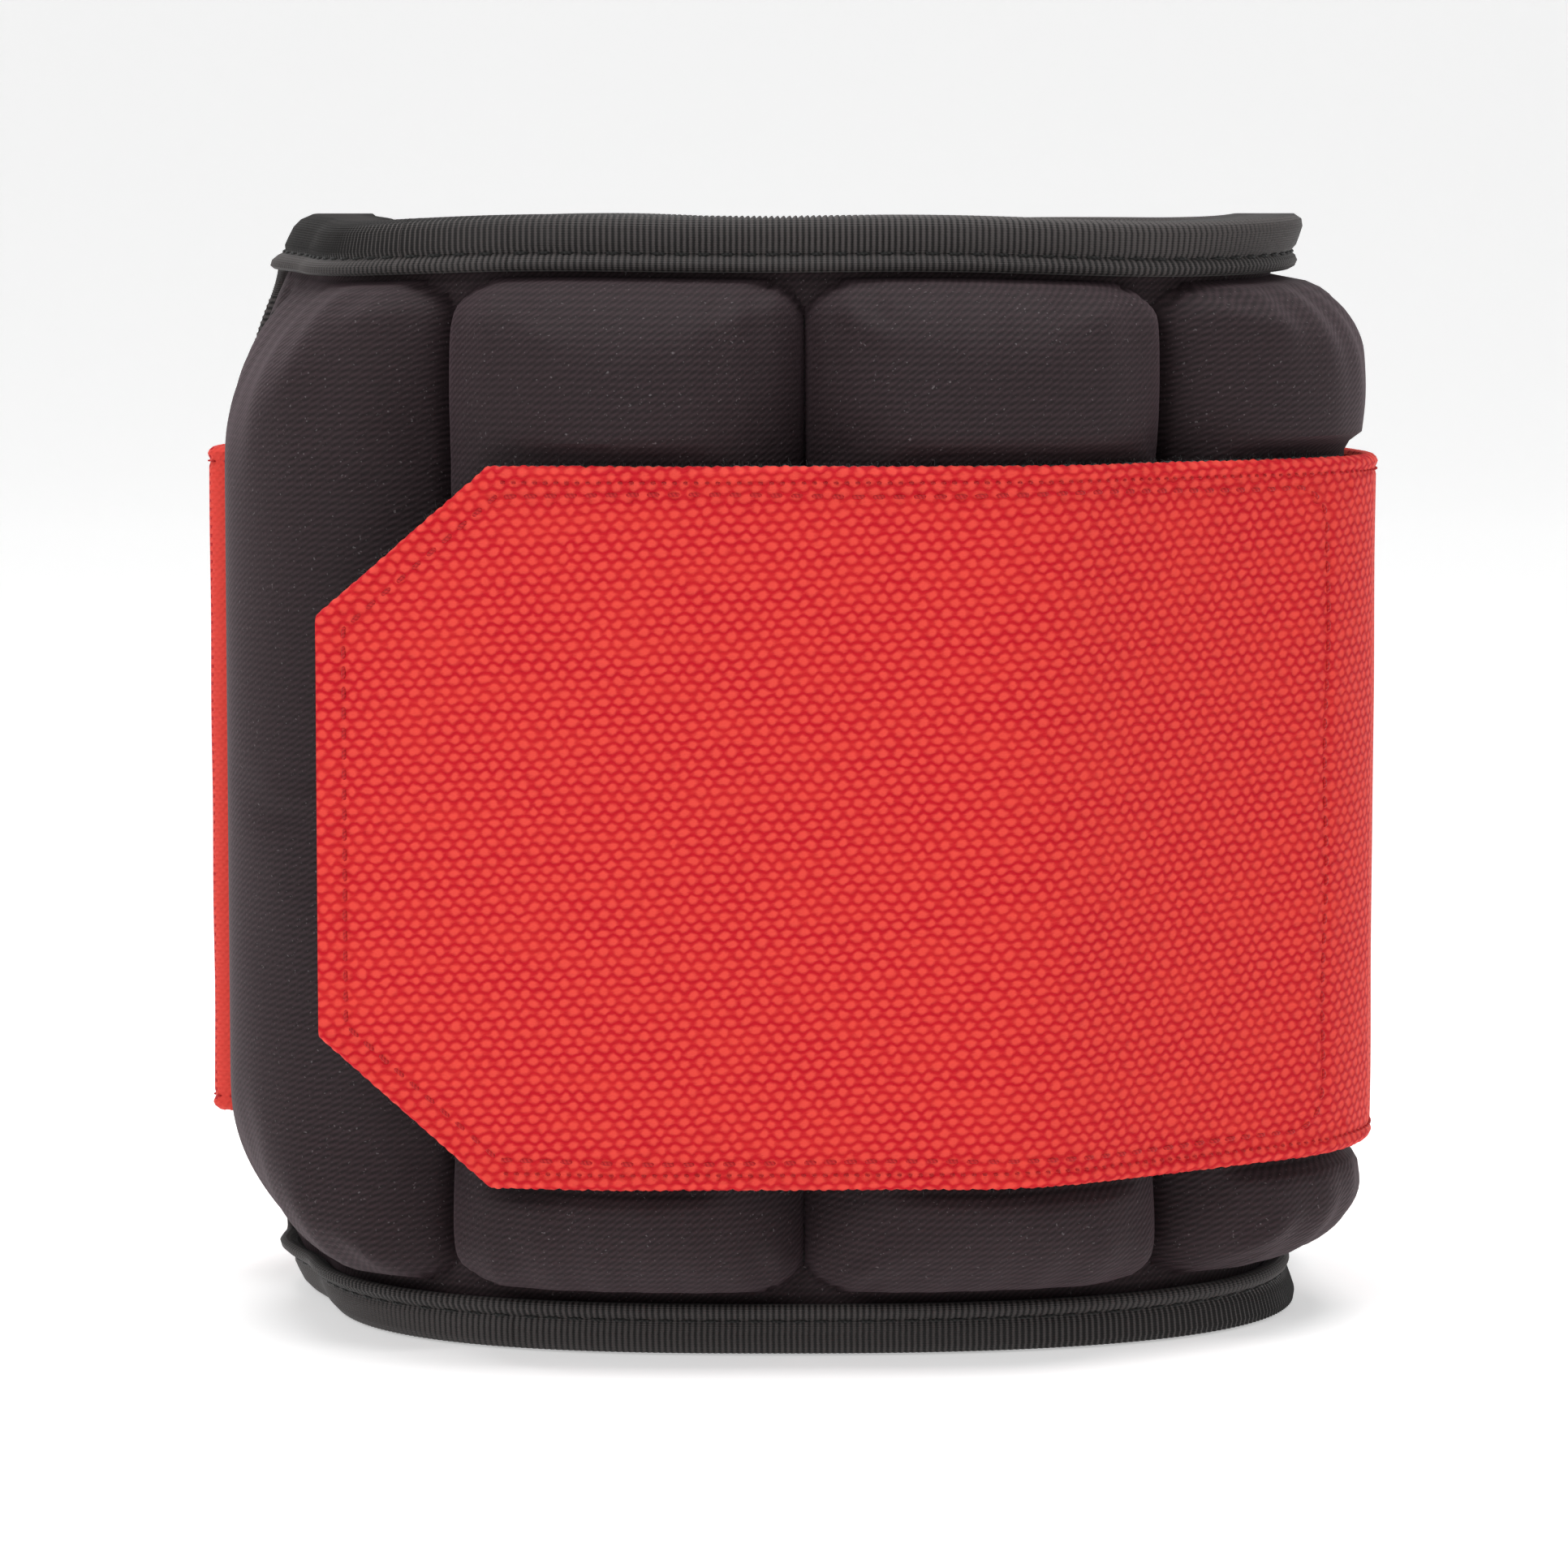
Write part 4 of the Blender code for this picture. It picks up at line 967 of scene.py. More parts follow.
def make_facing():
    """Folded tape round the slot: four rows across it, rounded over the panel's cut."""
    outer, inner = SLOT_REACH - CLEARANCE, SLOT_REACH - CLEARANCE - SLOT_FACING
    arcs = np.array([SLOT_NEAR + SLOT_FACING * (1 - step) for step in FACING_STEPS]
                    + [SLOT_FAR - SLOT_FACING * (1 - step) for step in FACING_STEPS])
    arcs.sort()
    low = [STRAP_MIDDLE - outer + (outer - inner) * step for step in FACING_STEPS]
    high = [STRAP_MIDDLE + outer - (outer - inner) * step for step in FACING_STEPS[::-1]]
    heights = np.array(low + list(spread(low[-1], high[0], 24)[1:-1]) + high)

    def face(base, rise):
        def out(arc, height):
            across = np.minimum(np.abs(arc - SLOT_NEAR), np.abs(arc - SLOT_FAR)) / SLOT_FACING
            beyond = np.abs(height - STRAP_MIDDLE) - inner
            reach = np.where(beyond > 0, np.minimum(1, beyond / SLOT_FACING), across)
            return base + rise * np.sqrt(np.maximum(0.0, 1 - (2 * np.clip(reach, 0, 1) - 1) ** 2))
        return out

    last, rim = len(heights) - 1, len(FACING_STEPS) - 1
    piece = wall_slab("slot_facing_tape", arcs, heights, face(FABRIC, FACING_RISE_OUT),
                      face(-LINING, -FACING_RISE_IN), TAPE_BLACK,
                      lambda row, column: row == rim and rim <= column < last - rim)
    carried(piece, "outer_flap", ["slot_facing"])


PILE_PITCH = 0.0022          # of the tufts of the patch's pile
PATCH_LOOPS = 1500


def patch_front(arc, height):
    return lining_out(arc, height) - CLEARANCE * 0.5


def patch_pile(arc, height):
    tufts = ripple(arc, height, 6, PILE_PITCH)
    return lining_out(arc, height) - PATCH_THICKNESS * (0.85 + 0.35 * tufts)


def make_patch():
    arcs = spread(FLAP_SEAM + 0.001, FRONT_FOLD - PATCH_EDGE, 44)
    heights = spread(EDGE_SEAT + PATCH_EDGE, CUFF_HEIGHT - EDGE_SEAT - PATCH_EDGE, 130)
    piece = wall_slab("flap_patch_pile", arcs, heights, patch_front, patch_pile, HOOK_BLACK)
    carried(piece, "outer_flap", ["flap_loop_patch"])
    draw = random.Random(31)
    across, up = np.array([(draw.uniform(arcs[0], arcs[-1]), draw.uniform(heights[0], heights[-1]))
                           for _ in range(PATCH_LOOPS)]).T
    pile = patch_pile(across, up)
    base, tip = (wall(across, up, pile + lift) for lift in (0.0003, -0.0010))
    carried(strands("flap_patch_loops", base, tip - base, 0.00006, 0.0006, 5, HOOK_BLACK),
            "outer_flap")


LINING_ROWS, TONGUE_ROWS = 56, 50
LINING_STEP = 0.0016
TONGUE_STEPS = 24            # along its straight part, and again round its end


def make_linings():
    heights = full_heights(LINING_ROWS, 0.2)
    ends = (FRONT_FOLD - FOLD_REACH, FRONT_FOLD + FOLD_REACH, BODY_END - FOLD_REACH,
            BODY_END + FOLD_REACH)
    for name, carrier, first, last, nodes in (
            ("front_fold_lining", FRONT, *ends[:2], ()),
            ("body_lining_fabric", "root", *ends[1:3], ("body_lining",)),
            ("tongue_fold_lining", INNER, *ends[2:], ())):
        count = max(8, round((last - first) / LINING_STEP))
        piece = wall_slab(name, spread(first, last, count), heights, level_at(0.0), lining_out,
                          CRIMSON)
        carried(piece, carrier, nodes)


def make_tongue():
    corner = TONGUE_CORNER - EDGE_SEAT
    straight = spread(BODY_END + FOLD_REACH, TONGUE_END - TONGUE_CORNER, TONGUE_STEPS)[:-1]
    arcs = np.concatenate([straight, corner_arcs(TONGUE_PANEL_END, corner, TONGUE_STEPS, -1)])
    heights = rounded(full_heights(TONGUE_ROWS, 0.2), arcs, TONGUE_PANEL_END, corner)
    piece = wall_slab("tongue_cover_fabric", arcs, heights, waved(TONGUE_FABRIC, 3, 0.02),
                      level_at(CLEARANCE), NEOPRENE)
    carried(piece, "tongue", ["tongue_cover"])
    piece = wall_slab("tongue_lining_fabric", arcs, heights, level_at(0.0), lining_out, CRIMSON)
    carried(piece, "tongue", ["tongue_lining"])


# ---- thread and pile -------------------------------------------------------------------------
def tubes(name, centres, sides, ups, radii, material, count=6):
    """Closed tubes through centres (tubes, stations, 3), all in one mesh."""
    number, stations = centres.shape[:2]
    turn = 2 * math.pi * np.arange(count) / count
    ring = (centres[:, :, None] + radii[:, :, None, None]
            * (np.cos(turn)[:, None] * sides[:, :, None] + np.sin(turn)[:, None] * ups[:, :, None]))
    index = np.arange(number * stations * count).reshape(number, stations, count)
    here, there = index[:, :-1], index[:, 1:]
    quads = np.stack([here, there, np.roll(there, -1, 2), np.roll(here, -1, 2)], -1).reshape(-1, 4)
    faces = quads.tolist() + index[:, 0].tolist() + index[:, -1, ::-1].tolist()
    along = np.broadcast_to(np.linspace(0, 0.002, stations)[:, None], (number, stations, count))
    round_it = np.broadcast_to(np.linspace(0, 0.0013, count), (number, stations, count))
    return mesh_piece(name, ring, faces, np.stack([along, round_it], -1), material, 80)


def unit(vectors):
    return vectors / np.maximum(np.linalg.norm(vectors, axis=-1, keepdims=True), 1e-9)


def strands(name, roots, ways, radius, curl, seed, material):
    """Short curly yarns from the roots."""
    draw = np.random.default_rng(seed)
    share = np.linspace(0, 1, 4)[None, :, None]
    lean = draw.normal(0, curl, (len(roots), 1, 3))
    bend = draw.normal(0, curl, (len(roots), 1, 3))
    centres = roots[:, None] + ways[:, None] * share + lean * share + bend * np.sin(math.pi * share)
    along = unit(np.gradient(centres, axis=1))
    sides = unit(np.cross(along, np.array([0.3, 0.5, 0.81])))
    radii = radius * np.array([1.0, 1.0, 0.9, 0.5])[None, :] * np.ones((len(roots), 1))
    return tubes(name, centres, sides, np.cross(along, sides), radii, material, 3)


def along_line(points, pitch, fill, closed=False):
    """Stitches along a line in the weave's plane: (stitches, 5 stations, 2)."""
    points = np.asarray(points, float)
    if closed:
        points = np.concatenate([points, points[:1]])
    run = np.concatenate([[0.0], np.cumsum(np.linalg.norm(np.diff(points, axis=0), axis=1))])
    count = max(1, int(run[-1] / pitch))
    starts = np.arange(count) * run[-1] / count
    spots = starts[:, None] + np.linspace(0, pitch * fill, 5)[None, :]
    return np.stack([np.interp(spots, run, points[:, axis]) for axis in (0, 1)], -1)


def stitch_row(name, stitches, place, carrier, material, radius=THREAD):
    """Thread along stitches; place gives world positions from the weave's plane and a lift."""
    if not len(stitches):
        return None
    lift = radius * np.array([-1.6, 0.25, 0.7, 0.25, -1.6])
    centres = place(stitches[..., 0], stitches[..., 1], lift[None, :])
    ups = unit(place(stitches[..., 0], stitches[..., 1], lift[None, :] + 0.0005) - centres)
    sides = unit(np.cross(unit(np.gradient(centres, axis=1)), ups))
    radii = radius * np.array([0.7, 1.0, 1.05, 1.0, 0.7])[None, :] * np.ones((len(stitches), 1))
    piece = tubes(name, centres, sides, ups, radii, material)
    return carried(piece, carrier)


# ---- edge binding ----------------------------------------------------------------------------
BINDING_LOW = -0.0003        # the lower edge's line, before it is cut flat on the ground
FACE_GROOVE = 0.0019         # the stitches lie in a groove this far above the cord
BACK_GROOVE = 0.0023
TAPE_FOOT = 0.0001           # the tape's hems lie this far above its seat
CORD_REACH = 0.0018          # the cord's twisted ribs
CORD_TWIST = 1.2
FOLD_RIBS = 1.6              # the ribs stand out more on the fold
TAPE_CLEAR = 0.00012         # thread above the tape


class EdgeLine:
    """The band's whole edge: over the top, round the tongue's end, back below, round the flap's."""

    def __init__(self):
        self.start = FRONT_FOLD - FOLD_REACH
        low, high = BINDING_LOW, CUFF_HEIGHT
        tongue, flap = TONGUE_END - TONGUE_CORNER, FLAP_END + FLAP_CORNER
        self.parts = [
            ("line", self.start, high, tongue, high, (0, -1)),
            ("turn", tongue, high - TONGUE_CORNER, TONGUE_CORNER, math.pi / 2, 0),
            ("line", TONGUE_END, high - TONGUE_CORNER, TONGUE_END, low + TONGUE_CORNER, (-1, 0)),
            ("turn", tongue, low + TONGUE_CORNER, TONGUE_CORNER, 0, -math.pi / 2),
            ("line", tongue, low, flap, low, (0, 1)),
            ("turn", flap, low + FLAP_CORNER, FLAP_CORNER, -math.pi / 2, -math.pi),
            ("line", FLAP_END, low + FLAP_CORNER, FLAP_END, high - FLAP_CORNER, (1, 0)),
            ("turn", flap, high - FLAP_CORNER, FLAP_CORNER, math.pi, math.pi / 2),
            ("line", flap, high, self.start, high, (0, -1))]
        lengths = [abs(part[3] - part[1]) + abs(part[4] - part[2]) if part[0] == "line"
                   else part[3] * math.pi / 2 for part in self.parts]
        self.runs = np.concatenate([[0.0], np.cumsum(lengths)])

    def top(self, arc):
        return arc - self.start

    def bottom(self, arc):
        return self.runs[4] + (TONGUE_END - TONGUE_CORNER - arc)

    def at(self, run):
        """Arc, height and the way inwards at distances run along the edge."""
        run = np.asarray(run, float)
        out = np.zeros((*run.shape, 4))
        for number, part in enumerate(self.parts):
            low, high = self.runs[number], self.runs[number + 1]
            here = (run >= low) & (run <= high)
            share = ((run - low) / (high - low))[here]
            if part[0] == "line":
                _, arc, height, last_arc, last_height, inwards = part
                rows = [arc + (last_arc - arc) * share, height + (last_height - height) * share,
                        *(np.full(share.shape, way) for way in inwards)]
            else:
                _, arc, height, radius, turn, last_turn = part
                turn = turn + (last_turn - turn) * share
                rows = [arc + radius * np.cos(turn), height + radius * np.sin(turn),
                        -np.cos(turn), -np.sin(turn)]
            out[here] = np.stack(rows, -1)
        return out


EDGE = EdgeLine()


def tape_point(run, reach, out):
    """World position on the binding: reach in from the edge, out from the wall's line."""
    run, reach, out = np.broadcast_arrays(run, reach, out)
    edge = EDGE.at(run)
    spot = wall(edge[..., 0] + edge[..., 2] * reach, edge[..., 1] + edge[..., 3] * reach, out)
    spot[..., 2] = np.maximum(spot[..., 2], 0.0)
    return spot


def tape_profile():
    """Closed section of the tape: reach, out from its seat, side (1 out, -1 in), rib share."""
    cord = TAPE_CORD
    middle = TAPE_REACH - cord
    rows = [(middle + cord * math.cos(turn), 0.0013 + cord * math.sin(turn), 1, 0.7)
            for turn in (-0.7, 0.15, 0.95, 1.75, 2.6)]
    rows += [(TAPE_REACH - FACE_GROOVE, 0.0011, 1, 0.2), (TAPE_REACH - 0.0026, 0.00145, 1, 1),
             (0.0024, TAPE, 1, 1), (0.0012, TAPE, 1, 1), (0.0004, TAPE - 0.0004, 1, 1),
             (0.0, TAPE - 0.0013, 1, 1), (0.0, TAPE - 0.0013, -1, 1),
             (0.0004, TAPE - 0.0004, -1, 1), (0.0012, TAPE, -1, 1), (0.0024, TAPE, -1, 1),
             (TAPE_REACH - 0.0030, 0.00135, -1, 1), (TAPE_REACH - BACK_GROOVE, 0.0010, -1, 0.2),
             (TAPE_REACH - 0.0017, 0.00135, -1, 0.7), (TAPE_REACH - 0.0011, 0.0009, -1, 0.5)]
    rows += [(TAPE_REACH - 0.0011, TAPE_FOOT, -1, 0), (TAPE, TAPE_FOOT, -1, 0),
             (TAPE, TAPE_FOOT, 1, 0), (TAPE_REACH - 0.0004, TAPE_FOOT, 1, 0)]
    return np.array(rows)


PROFILE = tape_profile()


def tape_seat(edge, side):
    fabric = FABRIC + (TONGUE_FABRIC - FABRIC) * smooth((edge[..., 0] - BODY_END) / FOLD_REACH)
    return np.where(side > 0, fabric + TAPE_ROOM, -LINING - TAPE_ROOM)


def make_binding(name, first, last, carrier, nodes=()):
    count = max(6, round((last - first) / (RIB_PITCH / 3)))
    runs = spread(first, last, count)[:, None]
    reach, above, side, share = PROFILE.T
    round_cord = np.cumsum(np.abs(np.diff(above, prepend=above[0]))) / TAPE_CORD
    twist = round_cord * (reach > TAPE_REACH - CORD_REACH)
    rib = RIB_HEIGHT * 0.5 * share * np.sin(runs * 2 * math.pi / RIB_PITCH + twist * CORD_TWIST)
    over_fold = reach < 0.0002
    out = tape_seat(EDGE.at(runs), side) + side * (above + rib * ~over_fold)
    rings = tape_point(runs, reach - rib * over_fold * FOLD_RIBS, out)
    round_tape = np.cumsum(np.abs(np.diff(reach, prepend=0)) + 0.0002)
    uvs = np.stack(np.broadcast_arrays(runs, round_tape), -1)
    tape = carried(loft(name, rings, uvs, TAPE_BLACK, 70), carrier, nodes)

    for label, groove, way, height in (("outer", FACE_GROOVE, 1, 0.0011),
                                       ("inner", BACK_GROOVE, -1, 0.0010)):
        level = TAPE_REACH - groove
        line = np.array([[first + 0.0004, level], [last - 0.0004, level]])

        def place(run, level_at, lift, way=way, height=height):
            seat = tape_seat(EDGE.at(run), np.full(run.shape, way))
            return tape_point(run, level_at, seat + way * (height + TAPE_CLEAR + lift))

        stitch_row(f"{name}_{label}_stitches", along_line(line, TAPE_STITCH, 0.78), place, carrier,
                   THREAD_BLACK, THREAD * 0.8)


def make_bindings():
    """The edge in eight lengths, from the front fold over the top and back below."""
    front_top, inner_top = EDGE.top(FRONT_FOLD + FOLD_REACH), EDGE.top(BODY_END - FOLD_REACH)
    tongue_top, tongue_bottom = (side(BODY_END + FOLD_REACH) for side in (EDGE.top, EDGE.bottom))
    ends = (front_top, inner_top, tongue_top, tongue_bottom, EDGE.bottom(BODY_END - FOLD_REACH),
            EDGE.bottom(FRONT_FOLD + FOLD_REACH), EDGE.bottom(FRONT_FOLD - FOLD_REACH),
            EDGE.runs[-1])
    first = 0.0
    for last, (name, carrier) in zip(ends, (
            ("front_fold_top", FRONT), ("top_binding", "root"), ("tongue_fold_top", INNER),
            ("tongue_binding", "tongue"), ("tongue_fold_bottom", INNER), ("bottom_binding", "root"),
            ("front_fold_bottom", FRONT), ("flap_binding", "outer_flap"))):
        nodes = [name] if isinstance(carrier, str) else ()
        make_binding(name + "_tape", first, last, carrier, nodes)
        first = last


# ---- strap -----------------------------------------------------------------------------------
STRAP_STEP = 0.0003          # between stations along the strap
TURN_SOFTNESS = 0.0008       # the turns at the slot are rounded over this length
SELVEDGE = 0.0013
SCALLOP_PITCH = 0.0010
TAB_LIFT_ARC = FRONT_FOLD + CHANNEL_PITCH / 2          # the tab is free from here to its tip
SAG_MARGIN, SAG_RUN = 0.012, 0.010                     # the sag stops before the strap's rise


def strap_line():
    """Plan line of the strap's middle, from the root's seam through the slot to the tab's tip."""
    half = STRAP_THICKNESS / 2
    slot = (SLOT_NEAR + SLOT_FAR) / 2
    arcs = spread(BODY_END + CLEARANCE, PERIMETER + FLAP_END - ROOT_ROOM, 40)
    share = smooth((arcs - BODY_END) / (PERIMETER + FLAP_END - BODY_END))
    seam, lifted = TONGUE_FABRIC + ROOT_SEAM_ROOM, FLAP_LIFT + MARGIN_IN - STRAP_THICKNESS
    point, normal = line_frame(arcs)
    root = point + normal * (seam + (lifted - seam) * share + half)[:, None]
    leg_in = flat_place(spread(FLAP_END - STRAP_PAST_END, slot, 30), MARGIN_IN - half)
    crossing = flat_place(np.full(21, slot), spread(MARGIN_IN - half, MARGIN_OUT + half, 20))[1:-1]
    leg_out = flat_place(spread(slot, FLAP_END - STRAP_PAST_END, 30), MARGIN_OUT + half)
    arcs = np.linspace(BACK_START, TAB_LIFT_ARC, 700)[1:]
    inner = strap_inner_out(arcs)
    between_crowns = 1 - crown(arcs, np.array(STRAP_MIDDLE)) ** 2
    on_crowns = smooth((BODY_END - SAG_MARGIN - arcs) / SAG_RUN) * (arcs > STRAP_SEAM_ARC)
    point, normal = line_frame(arcs)
    back = point + normal * (inner + half - STRAP_SAG * between_crowns * on_crowns)[:, None]
    turn = math.radians(-TAB_FREE_TURN)
    tip, before = flat_place(np.array([TAB_LIFT_ARC, TAB_LIFT_ARC + 0.004]),
                             strap_inner_out(np.array([TAB_LIFT_ARC] * 2)) + half)
    along = (tip - before) / np.linalg.norm(tip - before)
    away = np.array([along[0] * math.cos(turn) - along[1] * math.sin(turn),
                     along[0] * math.sin(turn) + along[1] * math.cos(turn)])
    free = back[-1] + away * spread(0, TAB_FREE_LENGTH, 100)[1:, None]
    line = np.concatenate([root, leg_in, crossing, leg_out, back, free])
    run = np.concatenate([[0.0], np.cumsum(np.linalg.norm(np.diff(line, axis=0), axis=1))])
    even = np.linspace(0, run[-1], round(run[-1] / STRAP_STEP) + 1)
    line = np.stack([np.interp(even, run, line[:, axis]) for axis in (0, 1)], -1)
    reach = round(2.5 * TURN_SOFTNESS / STRAP_STEP)
    weights = np.exp(-0.5 * (np.arange(-reach, reach + 1) * STRAP_STEP / TURN_SOFTNESS) ** 2)
    weights /= weights.sum()
    padded = np.concatenate([2 * line[0] - line[reach:0:-1], line,
                             2 * line[-1] - line[-2:-reach - 2:-1]])
    soft = np.stack([np.convolve(padded[:, axis], weights, "valid") for axis in (0, 1)], -1)
    run = np.concatenate([[0.0], np.cumsum(np.linalg.norm(np.diff(soft, axis=0), axis=1))])
    return soft + BAND_OFFSET, run


STRAP_LINE, STRAP_RUN = strap_line()
STRAP_END = STRAP_RUN[-1]


def strap_frame(run):
    """Plan point and the way to the strap's outer face at distances run along it."""
    def at(where):
        return np.stack([np.interp(where, STRAP_RUN, STRAP_LINE[:, axis]) for axis in (0, 1)], -1)
    reach = 0.0012
    along = unit(at(run + reach) - at(run - reach))
    return at(run), np.stack([-along[..., 1], along[..., 0]], -1)


def run_at(arc):
    """Distance along the strap's outer leg at which it passes an arc of the band."""
    point, normal = line_frame(np.array(arc))
    offset = STRAP_LINE - BAND_OFFSET - point
    past_turn = STRAP_RUN > 0.030
    beside = np.abs(offset[:, 0] * -normal[1] + offset[:, 1] * normal[0])
    outside = offset @ normal > 0
    return float(STRAP_RUN[np.argmin(np.where(past_turn & outside, beside, 1.0))])


# distances along the strap at which its lengths end; at each fold a length between two bodies
# reaches over some way
ROOT_RUN = float(STRAP_RUN[np.argmin(np.abs(STRAP_RUN - 0.0115))])
WEST_RUN, BACK_RUN = run_at(BACK_START - 0.002), run_at(BODY_END - 0.016)
CORNER_RUN, SEAM_RUN = run_at(STRAP_CORNER_ARC), run_at(STRAP_SEAM_ARC)
CORNER_START, CORNER_PAST = CORNER_RUN - 0.007, CORNER_RUN + 0.007
SEAM_START, SEAM_PAST = SEAM_RUN - 0.0042, SEAM_RUN + 0.0062
STITCHED_RUN = SEAM_RUN + 0.0072             # the row of stitches across the strap
STITCH_WIDTH = 0.0007                        # of the groove that they draw in


def half_height(run):
    """Half the strap's height: full, but for the tab's cut corners."""
    share = np.clip((STRAP_END - run) / TAB_CHAMFER, 0, 1)
    return (TAB_TIP_HEIGHT + (STRAP_WIDTH - TAB_TIP_HEIGHT) * share) / 2


def stitch_depth(run, level):
    """How far the tab's stitches draw its face in, as a share."""
    half = half_height(run)
    inside = (run > STITCHED_RUN - 0.004) * 1.0
    slope = np.where(run > STRAP_END - TAB_CHAMFER, 1.31, 1.0)
    from_edge = (half - np.abs(level)) / slope
    from_tip = STRAP_END - run
    from_seam = run - STITCHED_RUN
    line = np.minimum(np.abs(from_edge - STITCH_INSET), np.abs(from_tip - STITCH_INSET))
    line = np.minimum(line, np.abs(from_seam))
    outside = (from_edge < STITCH_INSET - 0.001) | (from_tip < STITCH_INSET - 0.001)
    return inside * np.exp(-(line / STITCH_WIDTH) ** 2) * np.where(outside, 0.3, 1.0)


# rows of the strap's face: distances in from its edge, and how many lie between the edge zones
EDGE_LEVELS = np.array([0.0, 0.00012, 0.0004, 0.0008, 0.0011, 0.0014, 0.0017, 0.0022, 0.0029,
                        0.0036, 0.0048])
MIDDLE_ROWS = 22
SELVEDGE_RIDGE = (0.00018, 0.0007, 0.0004)             # height, distance in from the edge, width
SELVEDGE_GROOVE = (-0.00016, 0.0016, 0.0003)
FACE_WAVE = 0.00010
SCALLOP = 0.00014


def strap_rings(runs, thickness, lift, rough_edge):
    """Rings of the strap's section: outer face from below upwards, and back down the inner."""
    half = half_height(runs)[:, None]
    lowest = -half + EDGE_LEVELS[None, :]
    middle = np.linspace(0, 1, MIDDLE_ROWS)[None, 1:-1]
    inside = lowest[:, -1:] * (1 - 2 * middle)
    level = np.concatenate([lowest, inside, -lowest[:, ::-1]], 1)
    from_edge = half - np.abs(level)
    radius = thickness / 2
    round_off = np.sqrt(np.clip(1 - (1 - np.minimum(from_edge / (radius * 0.9), 1)) ** 2, 0.0, 1))
    run = runs[:, None]
    selvedge = sum(height * np.exp(-((from_edge - place) / width) ** 2)
                   for height, place, width in (SELVEDGE_RIDGE, SELVEDGE_GROOVE))
    cut_end = np.clip((STRAP_END - run) / 0.002, 0, 1)
    face = radius * round_off + selvedge * cut_end
    face = face - STITCH_GROOVE * stitch_depth(run, level)
    face = face + FACE_WAVE * ripple(run, level, 12, 0.016)
    scallop = SCALLOP * np.abs(np.sin(math.pi * run / SCALLOP_PITCH))
    scallop = scallop + rough_edge * ripple(run, level, 3, 0.0011)
    waved = level + np.sign(level) * scallop * np.exp(-from_edge / 0.0006)
    outer = np.stack([waved, face + lift], -1)
    back = np.stack([waved, -radius * round_off + lift], -1)[:, ::-1]
    section = np.concatenate([outer, back[:, 1:-1]], 1)
    point, normal = strap_frame(np.broadcast_to(run, section.shape[:2]))
    flat = point + normal * section[..., 1:]
    rings = np.concatenate([flat, (section[..., :1] + STRAP_MIDDLE)], -1)
    uvs = np.stack([np.broadcast_to(run, section.shape[:2]), section[..., 0] + STRAP_MIDDLE], -1)
    return rings, uvs


def strap_place(run, level, lift):
    """World position on the strap's outer face, for its stitches."""
    run, level, lift = np.broadcast_arrays(run, level, lift)
    point, normal = strap_frame(run)
    out = STRAP_THICKNESS / 2 - STITCH_GROOVE * stitch_depth(run, level) + lift
    flat = point + normal * out[..., None]
    return np.concatenate([flat, (level + STRAP_MIDDLE)[..., None]], -1)


def strap_fold(first_body, second_body, first_run, last_run):
    point, _ = strap_frame(np.array([first_run, last_run]))
    ends = [(float(x), float(y), STRAP_MIDDLE) for x, y in point]
    return first_body, second_body, *ends


def tab_stitch_line():
    """The tab's stitches: along its edges, round the tip's cut corners, and across at its seam."""
    low = STRAP_WIDTH / 2 - STITCH_INSET
    chamfer_slope = (STRAP_WIDTH - TAB_TIP_HEIGHT) / 2 / TAB_CHAMFER
    tip = STRAP_END - STITCH_INSET
    shift = STITCH_INSET * (math.hypot(1, chamfer_slope) - 1) / chamfer_slope
    start = STRAP_END - TAB_CHAMFER - shift
    tip_low = low - (tip - start) * chamfer_slope
    corner = 0.005
    bend = [(STITCHED_RUN + corner * (1 - math.cos(turn)), low - corner * (1 - math.sin(turn)))
            for turn in np.linspace(0, math.pi / 2, 9)]
    seam = [(STITCHED_RUN + 0.00025 * math.sin(level / 0.0042), level)
            for level in np.linspace(-low + corner, low - corner, 60)]
    top = [(run, low + 0.00015 * math.sin(run / 0.007))
           for run in np.linspace(STITCHED_RUN + corner, start, 60)]
    upper = bend[1:] + top[1:] + [(start, low), (tip, tip_low)]
    return seam + upper + [(run, -level) for run, level in upper][::-1]


TAB_FOLD = strap_fold("strap_side", "strap_tab", SEAM_START, SEAM_PAST)
ROUGH = 0.00012              # the tab's cut edge
SELVEDGE_INSET = SELVEDGE + 0.0003


